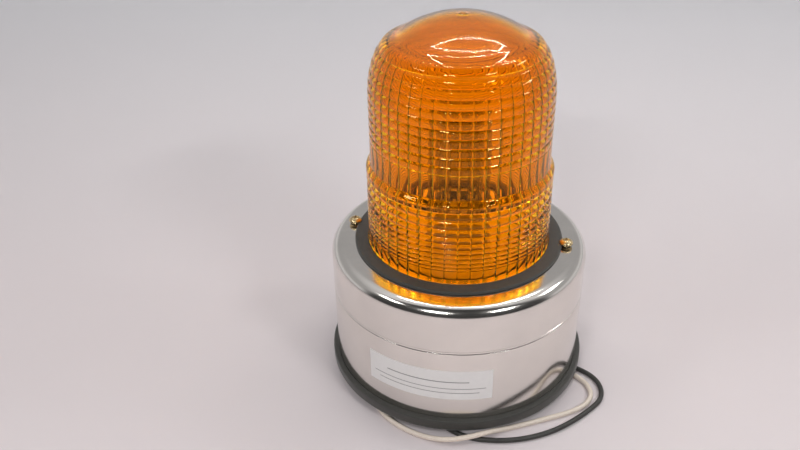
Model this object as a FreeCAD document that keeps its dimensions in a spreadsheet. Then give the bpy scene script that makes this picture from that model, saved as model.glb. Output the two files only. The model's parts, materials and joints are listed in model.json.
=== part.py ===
import FreeCAD, Part
import math
import os
import Sketcher
from FreeCAD import Placement, Rotation, Vector

# A xenon warning strobe: a polished round housing in two shells, an amber ribbed lens,
# a plug-in flash tube, its power board and two supply leads.
# The frame: Z is the axis of the object, the floor is at z = 0, and -Y is the front.

# Driving sizes in millimetres, angles in degrees and plain counts
SIZES = {
    # Named clearances
    "trim_fit": 0.1,
    "sliding_fit": 0.3,
    "thread_fit": 0.05,
    "seat_gap": 0.05,
    "cut_overrun": 1.0,
    # Housing shells
    "housing_radius": 81.0,
    "housing_wall": 2.0,
    "stand_gap": 4.0,
    "lower_height": 58.7,
    "full_height": 90.3,
    "seam_gap": 0.3,
    "spigot_height": 8.0,
    "spigot_wall": 1.5,
    "scribe_rise": 1.3,
    "scribe_width": 0.35,
    "scribe_depth": 0.3,
    "shoulder_radius": 7.5,
    "cover_ledge": 15.2,
    "throat_step": 5.0,
    # Rubber ring round the foot
    "ring_height": 8.6,
    "ring_proud": 3.5,
    "ring_floor": 2.6,
    "ring_inner_leg": 2.9,
    "ring_inner_rise": 6.0,
    "ring_foot_round": 3.0,
    "ring_lip_round": 1.2,
    # Base plate, its rivets and the mounting holes
    "plate_rise": 12.0,
    "plate_thickness": 2.0,
    "plate_bend": 3.5,
    "base_rivet_count": 6,
    "base_rivet_radius": 1.6,
    "base_rivet_rise": 6.4,
    "bolt_inset": 16.9,
    "bolt_hole_radius": 3.3,
    "bolt_count": 4,
    # Pipe hub
    "hub_radius": 20.0,
    "hub_bore": 11.7,
    "hub_flange_radius": 29.0,
    "hub_flange": 3.0,
    "hub_neck": 14.5,
    "hub_neck_rise": 1.5,
    "hub_chamfer": 1.0,
    "hub_rivet_circle": 49.0,
    "hub_rivet_count": 4,
    "hub_rivet_start_angle": 45.0,
    "hub_rivet_radius": 2.0,
    "hub_rivet_head": 3.6,
    "hub_rivet_head_height": 1.2,
    # Lens gasket
    "gasket_rim": 2.3,
    "gasket_leg": 0.4,
    "gasket_round": 0.5,
    "gasket_foot_width": 8.5,
    "gasket_lip_gap": 0.7,
    # Lens
    "flange_width": 6.6,
    "flange_thickness": 1.0,
    "lens_step_width": 2.5,
    "lens_lower_height": 54.4,
    "lens_step_slope": 1.0,
    "lens_upper_height": 42.8,
    "lens_shoulder_height": 33.3,
    "lens_shoulder_width": 15.9,
    "lens_crown_height": 12.2,
    "lens_wall": 2.6,
    "ring_groove_depth": 0.7,
    "ring_bands": 4,
    "upper_ring_count": 11,
    "upper_ring_pitch": 5.35,
    "lower_ring_count": 10,
    "lower_ring_pitch": 5.9,
    "lower_ring_start": 6.5,
    "smooth_band": 15.7,
    "flute_count": 44,
    "flute_depth": 0.9,
    "gate_radius": 2.4,
    "gate_height": 0.4,
    # Lens screws and their nuts
    "lens_screw_stand_off": 2.4,
    "lens_screw_angle": -9.0,
    "lens_screw_radius": 2.08,
    "lens_screw_length": 15.0,
    "lens_screw_head": 4.1,
    "lens_screw_head_height": 2.5,
    "lens_screw_head_side": 0.9,
    "lens_screw_head_top": 2.0,
    "screw_tip": 0.8,
    "head_gap": 0.1,
    "cross_width": 0.9,
    "cross_length": 4.4,
    "cross_depth": 1.3,
    "nut_shank": 3.4,
    "nut_flange": 5.0,
    "nut_flange_thickness": 1.2,
    "nut_barrel": 4.0,
    "nut_length": 10.0,
    # Label
    "label_rise": 24.0,
    "label_height": 22.0,
    "label_start_angle": -129.7,
    "label_sweep_angle": 55.9,
    "label_thickness": 0.15,
    # Lead bushing
    "bushing_x": 40.0,
    "bushing_y": 4.0,
    "bushing_radius": 6.5,
    "bushing_flange_radius": 8.5,
    "bushing_flange": 2.0,
    "lead_pitch_x": 3.6,
    "lead_pitch_y": 4.2,
    # Leads
    "lead_radius": 1.6,
    "lead_core_radius": 0.65,
    "lead_tip_length": 8.0,
    # Board, posts and chassis
    "board_height": 12.0,
    "board_inset": 17.0,
    "layout_radius": 62.0,
    "board_thickness": 1.6,
    "board_wire_hole": 8.0,
    "post_inset": 10.0,
    "post_count": 4,
    "post_start_angle": 45.0,
    "post_sides": 6,
    "post_radius": 4.0,
    "stud_radius": 1.9,
    "stud_length": 8.0,
    "chassis_inset": 15.0,
    "chassis_drop": 14.8,
    "chassis_thickness": 1.5,
    "chassis_bore": 20.6,
    "chassis_screw_length": 7.0,
    "chassis_screw_head": 3.5,
    "chassis_screw_head_height": 2.2,
    # Tube socket and reflector
    "socket_radius": 20.0,
    "socket_flange_radius": 26.0,
    "socket_flange": 3.0,
    "socket_depth": 13.5,
    "socket_rise": 10.5,
    "pin_circle": 20.0,
    "pin_count": 3,
    "pin_start_angle": 90.0,
    "pin_radius": 1.5,
    "pin_length": 12.0,
    "socket_hole_depth": 15.0,
    "reflector_foot": 27.0,
    "reflector_inset": 4.0,
    "reflector_rise": 8.5,
    "reflector_wall": 1.0,
    # Plug-in flash tube
    "tube_lift_gap": 0.3,
    "tube_base_radius": 19.5,
    "tube_base_height": 7.0,
    "tube_boss_height": 6.0,
    "envelope_radius": 18.2,
    "envelope_wall": 1.5,
    "envelope_headroom": 11.8,
    "arc_tube_radius": 3.2,
    "arc_tube_wall": 0.8,
    "arc_leg_spacing": 18.0,
    "arc_leg_height": 34.0,
    "electrode_height": 8.0,
    "tube_lead_radius": 0.8,
    "tube_lead_height": 9.0,
    "trigger_wire_radius": 0.3,
    "trigger_wire_reach": 13.2,
    "trigger_wire_bend": 3.0,
    "trigger_wire_gap": 2.3,
    # Board parts
    "tall_part_headroom": 0.9,
    "core_length": 36.0,
    "core_width": 22.0,
    "core_window": 8.0,
    "core_leg": 6.0,
    "winding_width": 40.0,
    "winding_clear": 0.2,
    "core_x": -24.0,
    "capacitor_radius": 11.5,
    "capacitor_round": 1.2,
    "capacitor_x": 12.5,
    "capacitor_y": 17.0,
    "film_length": 20.0,
    "film_width": 8.0,
    "film_height": 13.0,
    "film_x": -19.0,
    "film_y": 38.5,
    "coil_radius": 8.0,
    "coil_height": 20.0,
    "coil_x": 37.0,
    "coil_y": -23.0,
    "resistor_length": 36.0,
    "resistor_width": 7.0,
    "resistor_height": 8.0,
    "resistor_x": 7.0,
    "resistor_y": -37.0,
    "resistor_pitch": 10.0,
    "diode_radius": 2.0,
    "diode_length": 8.0,
    "diode_pitch": 5.0,
    "diode_count": 4,
    "diode_x": -29.0,
    "diode_y": -31.0,
    "diode_lead": 0.4,
    "diode_lead_reach": 2.5,
    "thyristor_width": 10.0,
    "thyristor_depth": 4.5,
    "thyristor_height": 15.0,
    "thyristor_x": 50.5,
    "thyristor_y": -12.0,
    "fuse_radius": 3.1,
    "fuse_length": 28.0,
    "fuse_x": 8.0,
    "fuse_y": 42.0,
    "fuse_height": 5.5,
    "clip_width": 7.0,
    "clip_length": 5.0,
    "clip_height": 8.0,
    "terminal_length": 16.0,
    "terminal_width": 11.0,
    "terminal_height": 13.0,
    "terminal_x": 34.0,
    "terminal_y": 24.0,
    "terminal_pitch": 7.0,
    "terminal_screw_radius": 2.4,
    "terminal_screw_depth": 5.0,
    "terminal_slot_width": 0.7,
    "terminal_slot_depth": 0.9,
    "lamp_wire_radius": 0.9,
    "lamp_wire_x": -3.0,
    "lamp_wire_pitch": 7.0,
}

# Sizes across the base plate and the board, given for a board of layout_radius: they follow its radius
LAID_OUT = {
    "hub_radius", "hub_bore", "hub_flange_radius", "hub_neck", "hub_rivet_circle", "hub_rivet_radius",
    "hub_rivet_head", "bushing_x", "bushing_y", "bushing_radius", "bushing_flange_radius",
    "lead_pitch_x", "lead_pitch_y", "board_wire_hole", "post_inset", "post_radius",
    "core_length", "core_width", "core_window", "core_leg", "winding_width", "core_x",
    "capacitor_radius", "capacitor_x", "capacitor_y", "film_length", "film_width", "film_x", "film_y",
    "coil_radius", "coil_x", "coil_y", "resistor_length", "resistor_width", "resistor_x",
    "resistor_y", "resistor_pitch", "diode_radius", "diode_length", "diode_pitch", "diode_x",
    "diode_y", "thyristor_width", "thyristor_depth", "thyristor_x", "thyristor_y", "fuse_radius",
    "fuse_length", "fuse_x", "fuse_y", "clip_width", "clip_length", "terminal_length",
    "terminal_width", "terminal_x", "terminal_y", "terminal_pitch", "terminal_screw_radius",
    "lamp_wire_x", "lamp_wire_pitch",
}

# Half, for points midway between two others
HALF_SHARE = 0.5
# How much smaller each lower lens ring is than the one above it
RING_SHRINK_SHARE = 0.9
# The radius of a screw head's rounded edge against the width of that edge
HEAD_ROUND_SHARE = 2.0
# How far an arc of a lead reaches into its shorter run, and how far a tube's volume may differ
LEAD_ARC_SHARE = 0.45
VOLUME_ERROR_SHARE = 0.01
# The inner leads: where they enter the terminal block up its height, how high and how far across
# their two middle corners lie on the way there
LEAD_ENTRY_SHARE = 0.333
LEAD_CORNER_SHARES = (0.45, 0.78)
LEAD_REACH_SHARES = (0.1, 0.5)
# The lamp wires: the height of their two corners, and how far they draw in towards the axis
WIRE_CORNER_SHARES = (0.3, 0.6)
WIRE_INWARD_SHARE = 0.333
WIRE_CLOSER_SHARE = 0.9

# The route of each lead outside the housing, from the bushing to its bare end
WHITE_ROUTE = [
    (38.2, 1.9, 14.0), (38.2, 1.9, 8.4), (41.2, 0.2, 3.1), (49.0, -4.3, 1.6),
    (59.2, -12.8, 1.6), (70.0, -20.4, 1.6), (80.4, -26.6, 1.6), (87.3, -35.0, 1.6),
    (88.7, -45.2, 1.6), (83.4, -54.4, 1.6), (72.6, -61.4, 1.6), (58.5, -67.1, 1.6),
    (44.0, -72.9, 1.6), (31.0, -77.6, 1.6), (20.0, -84.4, 5.0), (8.8, -89.0, 5.0),
    (-3.6, -90.4, 3.4), (-16.0, -87.4, 1.6), (-28.4, -82.2, 1.6), (-40.0, -74.0, 1.6),
    (-48.6, -63.2, 1.6), (-52.8, -50.6, 1.6), (-53.4, -38.8, 1.6),
]
BLACK_ROUTE = [
    (41.8, 6.1, 14.0), (41.8, 6.1, 8.4), (44.9, 4.6, 3.1), (52.6, 0.6, 1.6),
    (62.8, -7.4, 1.6), (73.0, -14.8, 1.6), (83.8, -20.4, 1.6), (92.0, -27.4, 1.6),
    (95.8, -37.4, 1.6), (94.2, -48.4, 1.6), (86.4, -57.4, 1.6), (77.2, -66.0, 1.6),
    (66.0, -74.8, 1.6), (52.8, -81.8, 1.6), (38.6, -86.2, 1.6), (24.4, -87.6, 1.6),
    (11.2, -86.6, 1.6), (-0.4, -81.6, 1.6), (-9.6, -73.6, 1.6), (-15.4, -62.6, 1.6),
    (-16.6, -50.8, 1.6), (-12.4, -39.8, 1.6), (-3.2, -33.0, 1.6),
]


class Length:
    """A size together with the sheet expression that gives it."""

    def __init__(self, value, text):
        self.value = value
        self.text = text

    def join(self, sign, other, value):
        return Length(value, "(" + self.text + " " + sign + " " + other.text + ")")

    def __add__(self, other):
        other = as_length(other)
        return self.join("+", other, self.value + other.value)

    def __radd__(self, other):
        return as_length(other) + self

    def __sub__(self, other):
        other = as_length(other)
        return self.join("-", other, self.value - other.value)

    def __rsub__(self, other):
        return as_length(other) - self

    def __mul__(self, other):
        other = as_length(other)
        return self.join("*", other, self.value * other.value)

    def __rmul__(self, other):
        return as_length(other) * self

    def __truediv__(self, other):
        other = as_length(other)
        return self.join("/", other, self.value / other.value)

    def __neg__(self):
        return as_length(0) - self


def as_length(number):
    """Wrap a plain number, and pass a Length through."""
    if isinstance(number, Length):
        return number
    return Length(float(number), "(" + format(float(number), ".9f") + ")")


class SizeSheet:
    """The spreadsheet of driving sizes, read by alias."""

    def __init__(self, document, table):
        self.sheet = document.addObject("Spreadsheet::Sheet", "Sizes")
        for row, (name, value) in enumerate(table.items(), start=1):
            self.sheet.set("A" + str(row), name)
            self.sheet.set("B" + str(row), str(value))
            self.sheet.setAlias("B" + str(row), name)
        document.recompute()
        self.layout = (self.housing_radius - self.housing_wall - self.board_inset) / self.layout_radius

    def __getattr__(self, name):
        length = Length(float(self.sheet.get(name)), "Sizes." + name)
        return length * self.layout if name in LAID_OUT else length

    def count(self, name):
        return int(self.sheet.get(name))


doc = FreeCAD.newDocument("WarningStrobe")
S = SizeSheet(doc, SIZES)
nodes = []

# Radii that several pieces share
housing_inner = S.housing_radius - S.housing_wall
skirt_outer = housing_inner - S.trim_fit
skirt_inner = skirt_outer - S.plate_thickness
ring_radius = S.housing_radius + S.ring_proud
bolt_ring = skirt_inner - S.bolt_inset
board_radius = housing_inner - S.board_inset
chassis_radius = housing_inner - S.chassis_inset
post_ring = board_radius - S.post_inset
gasket_radius = S.housing_radius - S.cover_ledge
flange_radius = gasket_radius - S.gasket_rim
lens_lower_radius = flange_radius - S.flange_width
lens_upper_radius = lens_lower_radius - S.lens_step_width
lens_cap_radius = lens_upper_radius - S.lens_shoulder_width
lens_screw_ring = gasket_radius + S.lens_screw_stand_off
gasket_foot_bore = flange_radius - S.gasket_foot_width
throat_radius = gasket_foot_bore - S.throat_step
reflector_radius = throat_radius - S.reflector_inset

# Heights that several pieces share
ring_bottom = S.stand_gap
housing_bottom = ring_bottom + S.ring_floor
seam_top = ring_bottom + S.lower_height
cover_bottom = seam_top + S.seam_gap
cover_top = ring_bottom + S.full_height
plate_bottom = ring_bottom + S.plate_rise
plate_top = plate_bottom + S.plate_thickness
board_bottom = plate_top + S.board_height
board_top = board_bottom + S.board_thickness
chassis_top = cover_top - S.chassis_drop
chassis_bottom = chassis_top - S.chassis_thickness
post_height = chassis_bottom - board_top
socket_low = chassis_bottom - S.socket_depth
socket_top = chassis_top + S.socket_rise
tall_part_height = socket_low - board_top - S.tall_part_headroom
tube_bottom = socket_top + S.tube_lift_gap
lens_seat = cover_top + S.seat_gap
flange_bottom = lens_seat + S.gasket_leg
flange_top = flange_bottom + S.flange_thickness
gasket_top = flange_top + S.gasket_leg
lens_step = flange_bottom + S.lens_lower_height
upper_start = lens_step + S.lens_step_slope
shoulder_start = lens_step + S.lens_upper_height
shoulder_top = shoulder_start + S.lens_shoulder_height
lens_top = shoulder_top + S.lens_crown_height


def bind(item, prop, length):
    """Tie one property of an object to its sheet expression."""
    item.setExpression(prop, as_length(length).text)


def place(item, x, y, z):
    """Tie an object's position to the sheet."""
    for axis, length in zip("xyz", (x, y, z)):
        bind(item, "Placement.Base." + axis, length)


def node(item):
    """Count an object as a sub-part of its own."""
    nodes.append(item)
    return item


def around(radius, count, start=0.0):
    """Points evenly spaced on a circle, with the angle of each in degrees."""
    spots = []
    for index in range(count):
        angle = start + 360.0 * index / count
        cosine = math.cos(math.radians(angle))
        sine = math.sin(math.radians(angle))
        spots.append((radius * cosine, radius * sine, angle))
    return spots


def new_body(label):
    body = doc.addObject("PartDesign::Body", label)
    body.Label = label
    return body


def new_sketch(body, role, name, height=None):
    """A sketch on one of the body's own origin planes, lifted by a height if one is given."""
    sketch = body.newObject("Sketcher::SketchObject", body.Label + "_" + name)
    planes = [plane for plane in body.Origin.OriginFeatures if plane.Role == role]
    sketch.AttachmentSupport = [(planes[0], "")]
    sketch.MapMode = "FlatFace"
    if height is not None:
        bind(sketch, "AttachmentOffset.Base.z", height)
    return sketch


def hold(sketch, kind, *targets_and_length):
    """Add a dimension to a sketch and tie it to the sheet."""
    targets = targets_and_length[:-1]
    length = as_length(targets_and_length[-1])
    index = sketch.addConstraint(Sketcher.Constraint(kind, *targets, length.value))
    sketch.setExpression("Constraints[" + str(index) + "]", length.text)


def arc_between(start, end, radius, left):
    """An arc of a given radius; left says that its centre lies left of the way from start to end."""
    middle = (start + end) * HALF_SHARE
    chord = end - start
    across = math.sqrt(max(radius ** 2 - (chord.Length * HALF_SHARE) ** 2, 0.0))
    normal = Vector(-chord.y, chord.x, 0).normalize()
    centre = middle + normal * (across if left else -across)
    first = math.atan2(start.y - centre.y, start.x - centre.x)
    last = math.atan2(end.y - centre.y, end.x - centre.x)
    circle = Part.Circle(centre, Vector(0, 0, 1), radius)
    if left:
        return Part.ArcOfCircle(circle, first, last)
    return Part.ArcOfCircle(circle, last, first)


def draw_outline(sketch, corners):
    """Draw a closed outline. A corner is (x, y), or (x, y, radius, "left" or "right") where the
    edge that arrives at it is an arc with its centre on that side."""
    spots = [Vector(as_length(corner[0]).value, as_length(corner[1]).value, 0) for corner in corners]
    edges = []
    for index, corner in enumerate(corners):
        start = spots[index - 1]
        end = spots[index]
        if len(corner) == 2:
            edge = sketch.addGeometry(Part.LineSegment(start, end), False)
            edges.append((edge, 1, 2))
            continue
        left = corner[3] == "left"
        edge = sketch.addGeometry(arc_between(start, end, corner[2].value, left), False)
        edges.append((edge, 1, 2) if left else (edge, 2, 1))
    for index, (edge, head, tail) in enumerate(edges):
        after = edges[(index + 1) % len(edges)]
        sketch.addConstraint(Sketcher.Constraint("Coincident", edge, tail, after[0], after[1]))
        hold(sketch, "DistanceX", -1, 1, edge, tail, corners[index][0])
        hold(sketch, "DistanceY", -1, 1, edge, tail, corners[index][1])
        if len(corners[index]) > 2:
            hold(sketch, "Radius", edge, corners[index][2])


def draw_circles(sketch, circles):
    """Draw a circle for each (x, y, radius)."""
    for x, y, radius in circles:
        x, y, radius = as_length(x), as_length(y), as_length(radius)
        circle = Part.Circle(Vector(x.value, y.value, 0), Vector(0, 0, 1), radius.value)
        index = sketch.addGeometry(circle, False)
        hold(sketch, "Radius", index, radius)
        hold(sketch, "DistanceX", -1, 1, index, 3, x)
        hold(sketch, "DistanceY", -1, 1, index, 3, y)


def turned(label, corners, sweep=360.0):
    """A body turned about its own Z axis from an outline of (radius, height) corners."""
    body = new_body(label)
    sketch = new_sketch(body, "XZ_Plane", "profile")
    draw_outline(sketch, corners)
    turn = body.newObject("PartDesign::Revolution", label + "_turn")
    turn.Profile = sketch
    turn.ReferenceAxis = (sketch, ["V_Axis"])
    if isinstance(sweep, Length):
        bind(turn, "Angle", sweep)
    else:
        turn.Angle = sweep
    doc.recompute()
    return body


def less_material(body, before, feature):
    """Stop if a cut took nothing away."""
    doc.recompute()
    if body.Shape.Volume >= before:
        raise RuntimeError(feature.Label + " cuts nothing")


def drilled(body, circles, name="holes"):
    """Cut round holes along Z right through a body."""
    before = body.Shape.Volume
    sketch = new_sketch(body, "XY_Plane", name)
    draw_circles(sketch, circles)
    pocket = body.newObject("PartDesign::Pocket", body.Label + "_" + name + "_cut")
    pocket.Profile = sketch
    pocket.Type = "ThroughAll"
    pocket.Midplane = True
    less_material(body, before, pocket)
    return body


def sunk(body, top, depth, circles, outline=None, name="recess"):
    """Cut circles, or an outline, down from a height to a depth."""
    before = body.Shape.Volume
    sketch = new_sketch(body, "XY_Plane", name, top)
    if outline is None:
        draw_circles(sketch, circles)
    else:
        draw_outline(sketch, outline)
    pocket = body.newObject("PartDesign::Pocket", body.Label + "_" + name + "_cut")
    pocket.Profile = sketch
    bind(pocket, "Length", depth)
    less_material(body, before, pocket)
    return body


def cylinder(label, radius, height, spot):
    """An upright round bar with its foot at a spot."""
    item = doc.addObject("Part::Cylinder", label)
    item.Label = label
    bind(item, "Radius", radius)
    bind(item, "Height", height)
    place(item, *spot)
    return item


def lying(item, angle):
    """Lay an upright item down, its axis level and turned to an angle in degrees."""
    item.Placement.Rotation = Rotation(Vector(0, 0, 1), angle) * Rotation(Vector(0, 1, 0), 90)
    return item


def block(label, size, centre_foot):
    """A box centred over a spot that its foot stands on."""
    item = doc.addObject("Part::Box", label)
    item.Label = label
    for prop, length in zip(("Length", "Width", "Height"), size):
        bind(item, prop, length)
    x, y, z = centre_foot
    place(item, x - size[0] / 2, y - size[1] / 2, z)
    return item


def less(label, base, tool):
    """A piece with a tool cut out of it."""
    item = doc.addObject("Part::Cut", label)
    item.Label = label
    item.Base = base
    item.Tool = tool
    return item


def joined(label, items):
    """One solid made of touching shapes."""
    item = doc.addObject("Part::MultiFuse", label)
    item.Label = label
    item.Shapes = items
    return item


def group(label, items):
    """Identical pieces that share one node as separate solids."""
    item = doc.addObject("Part::Compound", label)
    item.Label = label
    item.Links = items
    return item


def stored(label, shape):
    """A sub-part whose shape is worked out directly."""
    item = doc.addObject("Part::Feature", label)
    item.Label = label
    item.Shape = shape
    item.Placement = Placement()
    return item


def rounded_path(label, points):
    """Straight runs joined by arcs tangent to both, as one wire."""
    points = [Vector(*point) for point in points]
    edges = []
    radii = []
    last = points[0]
    for before, corner, after in zip(points, points[1:], points[2:]):
        back = (before - corner).normalize()
        ahead = (after - corner).normalize()
        turn = math.pi - back.getAngle(ahead)
        setback = LEAD_ARC_SHARE * min((corner - before).Length, (after - corner).Length)
        radius = setback / math.tan(turn / 2)
        start = corner + back * setback
        end = corner + ahead * setback
        inward = (back + ahead).normalize()
        middle = corner + inward * (radius / math.cos(turn / 2) - radius)
        edges.append(Part.LineSegment(last, start).toShape())
        edges.append(Part.Arc(start, middle, end).toShape())
        radii.append(round(radius, 1))
        last = end
    edges.append(Part.LineSegment(last, points[-1]).toShape())
    wire = Part.Wire(edges)
    print(label, "length", round(wire.Length, 1), "radii", radii)
    return wire


def tube(label, points, radius):
    """A round tube along a rounded path."""
    wire = rounded_path(label, points)
    first = Vector(*points[0])
    heading = Vector(*points[1]) - first
    ring = Part.Wire(Part.makeCircle(radius, first, heading))
    shape = wire.makePipeShell([ring], True, False)
    shape = shape if shape.ShapeType == "Solid" else Part.Solid(shape)
    expected = math.pi * radius ** 2 * wire.Length
    if abs(shape.Volume / expected - 1) > VOLUME_ERROR_SHARE:
        raise RuntimeError(label + " has volume " + str(shape.Volume) + ", not " + str(expected))
    return shape


def make_lower_housing():
    """The polished lower shell, joggled in at its rim to a spigot for the cover."""
    spigot_outer = housing_inner - S.sliding_fit
    spigot_inner = spigot_outer - S.spigot_wall
    spigot_top = seam_top + S.spigot_height
    web_bottom = seam_top - S.housing_wall
    body = turned("lower_housing", [
        (housing_inner, housing_bottom), (S.housing_radius, housing_bottom),
        (S.housing_radius, seam_top), (spigot_outer, seam_top),
        (spigot_outer, spigot_top), (spigot_inner, spigot_top),
        (spigot_inner, web_bottom), (housing_inner, web_bottom),
    ])
    return node(pierced_for_rivets(body))


def pierced_for_rivets(body):
    """Cut the base rivets' holes sideways through a shell."""
    radius = S.base_rivet_radius + S.thread_fit
    length = S.housing_wall + S.plate_thickness + S.cut_overrun * 2
    count = S.count("base_rivet_count")
    tools = []
    for index, (x, y, angle) in enumerate(around(skirt_inner - S.cut_overrun, count)):
        spot = (x, y, ring_bottom + S.base_rivet_rise)
        tool = cylinder(body.Label + "_drill_" + str(index + 1), radius, length, spot)
        tools.append(lying(tool, angle))
    plain = body.Label
    body.Label = plain + "_shell"
    return less(plain, body, group(plain + "_drills", tools))


def make_base_plate():
    """The pressed base plate: a disc with a skirt turned down inside the housing wall."""
    bend = S.plate_bend
    inner_bend = bend - S.plate_thickness
    body = turned("base_plate", [
        (S.hub_neck + S.trim_fit, plate_bottom), (skirt_inner - inner_bend, plate_bottom),
        (skirt_inner, plate_bottom - inner_bend, inner_bend, "right"), (skirt_inner, housing_bottom),
        (skirt_outer, housing_bottom), (skirt_outer, plate_top - bend),
        (skirt_outer - bend, plate_top, bend, "left"), (S.hub_neck + S.trim_fit, plate_top),
    ])
    holes = [(x, y, S.bolt_hole_radius) for x, y, angle in
             around(bolt_ring, S.count("bolt_count"))]
    holes += [(x, y, S.hub_rivet_radius + S.thread_fit) for x, y, angle in hub_rivet_spots()]
    holes.append((S.bushing_x, S.bushing_y, S.bushing_radius))
    return node(pierced_for_rivets(drilled(body, holes)))


def make_base_rivets():
    """Flush rivets through the housing wall and the plate's skirt, hidden by the ring."""
    length = S.housing_radius - skirt_inner - S.trim_fit * 2
    rivets = []
    for index, (x, y, angle) in enumerate(around(skirt_inner + S.trim_fit, S.count("base_rivet_count"))):
        spot = (x, y, ring_bottom + S.base_rivet_rise)
        rivet = cylinder("base_rivet_" + str(index + 1), S.base_rivet_radius, length, spot)
        rivets.append(lying(rivet, angle))
    return node(group("base_rivets", rivets))


def hub_rivet_spots():
    return around(S.hub_rivet_circle / 2, S.count("hub_rivet_count"), S.hub_rivet_start_angle.value)


def make_pipe_hub():
    """The pipe hub that the lamp stands on, with its neck through the base plate."""
    flange_bottom_height = plate_bottom - S.hub_flange
    neck_top = plate_top + S.hub_neck_rise
    chamfer = S.hub_chamfer
    body = turned("pipe_hub", [
        (S.hub_bore + chamfer, 0), (S.hub_radius - chamfer, 0), (S.hub_radius, chamfer),
        (S.hub_radius, flange_bottom_height), (S.hub_flange_radius, flange_bottom_height),
        (S.hub_flange_radius, plate_bottom), (S.hub_neck, plate_bottom), (S.hub_neck, neck_top),
        (S.hub_bore, neck_top), (S.hub_bore, chamfer),
    ])
    holes = [(x, y, S.hub_rivet_radius + S.thread_fit) for x, y, angle in hub_rivet_spots()]
    return node(drilled(body, holes))


def make_hub_rivets():
    """Rivets with a head each side of the plate and the hub's flange."""
    low = plate_bottom - S.hub_flange
    head = S.hub_rivet_head
    height = S.hub_rivet_head_height
    rivets = []
    for index, (x, y, angle) in enumerate(hub_rivet_spots()):
        rivet = turned("hub_rivet_" + str(index + 1), [
            (0, low - height), (head, low - height), (head, low), (S.hub_rivet_radius, low),
            (S.hub_rivet_radius, plate_top), (head, plate_top), (head, plate_top + height),
            (0, plate_top + height),
        ])
        place(rivet, x, y, 0)
        rivets.append(rivet)
    return node(group("hub_rivets", rivets))


def make_base_ring():
    """The black rubber ring: a channel pushed up over the housing's lower edge."""
    foot = S.ring_foot_round
    lip = S.ring_lip_round
    ring_top = ring_bottom + S.ring_height
    channel_inner = skirt_inner - S.trim_fit
    channel_outer = S.housing_radius + S.trim_fit
    inner = channel_inner - S.ring_inner_leg
    inner_top = housing_bottom + S.ring_inner_rise
    return node(turned("base_ring", [
        (inner + lip, ring_bottom), (ring_radius - foot, ring_bottom),
        (ring_radius, ring_bottom + foot, foot, "left"), (ring_radius, ring_top - lip),
        (ring_radius - lip, ring_top, lip, "left"), (channel_outer, ring_top),
        (channel_outer, housing_bottom), (channel_inner, housing_bottom),
        (channel_inner, inner_top), (inner, inner_top), (inner, ring_bottom + lip),
    ]))


def make_upper_cover():
    """The polished cover: flat top, rounded shoulder, and a scribed line above the seam."""
    wall = S.housing_wall
    round_outer = S.shoulder_radius
    round_inner = S.shoulder_radius - wall
    scribe = cover_bottom + S.scribe_rise
    body = turned("upper_cover", [
        (housing_inner, cover_bottom), (S.housing_radius, cover_bottom), (S.housing_radius, scribe),
        (S.housing_radius - S.scribe_depth, scribe + S.scribe_width / 2),
        (S.housing_radius, scribe + S.scribe_width), (S.housing_radius, cover_top - round_outer),
        (S.housing_radius - round_outer, cover_top, round_outer, "left"),
        (throat_radius, cover_top), (throat_radius, cover_top - wall),
        (housing_inner - round_inner, cover_top - wall),
        (housing_inner, cover_top - round_outer, round_inner, "right"),
    ])
    holes = [(x, y, S.nut_shank + S.thread_fit) for x, y, angle in lens_screw_spots()]
    return node(drilled(body, holes))


def lens_screw_spots():
    return around(lens_screw_ring, 2, S.lens_screw_angle.value)


def make_lens_nuts():
    """Rivet nuts in the cover that take the two lens screws."""
    bore = S.lens_screw_radius + S.thread_fit
    under = cover_top - S.housing_wall
    low = cover_top - S.nut_length
    nuts = []
    for index, (x, y, angle) in enumerate(lens_screw_spots()):
        nut = turned("lens_nut_" + str(index + 1), [
            (bore, low), (S.nut_barrel, low), (S.nut_barrel, under - S.nut_flange_thickness),
            (S.nut_flange, under - S.nut_flange_thickness), (S.nut_flange, under),
            (S.nut_shank, under), (S.nut_shank, cover_top), (bore, cover_top),
        ])
        place(nut, x, y, 0)
        nuts.append(nut)
    return node(group("lens_nuts", nuts))


def make_lens_gasket():
    """The black rubber gasket, a channel round the lens flange."""
    edge = S.gasket_round
    slot = flange_radius + S.trim_fit
    lip_bore = lens_lower_radius + S.gasket_lip_gap
    return node(turned("lens_gasket", [
        (gasket_foot_bore, lens_seat), (gasket_radius - edge, lens_seat),
        (gasket_radius, lens_seat + edge, edge, "left"), (gasket_radius, gasket_top - edge),
        (gasket_radius - edge, gasket_top, edge, "left"), (lip_bore, gasket_top),
        (lip_bore, flange_top), (slot, flange_top), (slot, flange_bottom),
        (gasket_foot_bore, flange_bottom),
    ]))


def quarter_oval(low_radius, low, high_radius, high, share):
    """A point on a quarter oval that leaves a height upright and arrives level."""
    angle = math.pi / 2 * share
    radius = high_radius + (low_radius - high_radius) * math.cos(angle)
    return Vector(radius, 0, low + (high - low) * math.sin(angle))


def shoulder_edge(low_radius, low, high_radius, high):
    """An arc close to that quarter oval."""
    middle = quarter_oval(low_radius, low, high_radius, high, HALF_SHARE)
    return Part.Arc(Vector(low_radius, 0, low), middle, Vector(high_radius, 0, high)).toShape()


def cap_edge(radius, low, top):
    """The outline of a spherical cap, from its rim to its middle."""
    rise = top - low
    sphere = (radius ** 2 + rise ** 2) / (rise * 2)
    halfway = radius / 2
    middle = Vector(halfway, 0, top - sphere + math.sqrt(sphere ** 2 - halfway ** 2))
    return Part.Arc(Vector(radius, 0, low), middle, Vector(0, 0, top)).toShape()


def lens_radius(height):
    """The lens's outer radius at a height on its upper rings and shoulder."""
    low = shoulder_start.value
    if height <= low:
        return lens_upper_radius.value
    cap = lens_cap_radius.value
    rise = (height - low) / S.lens_shoulder_height.value
    return cap + (lens_upper_radius.value - cap) * math.sqrt(1 - rise ** 2)


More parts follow.
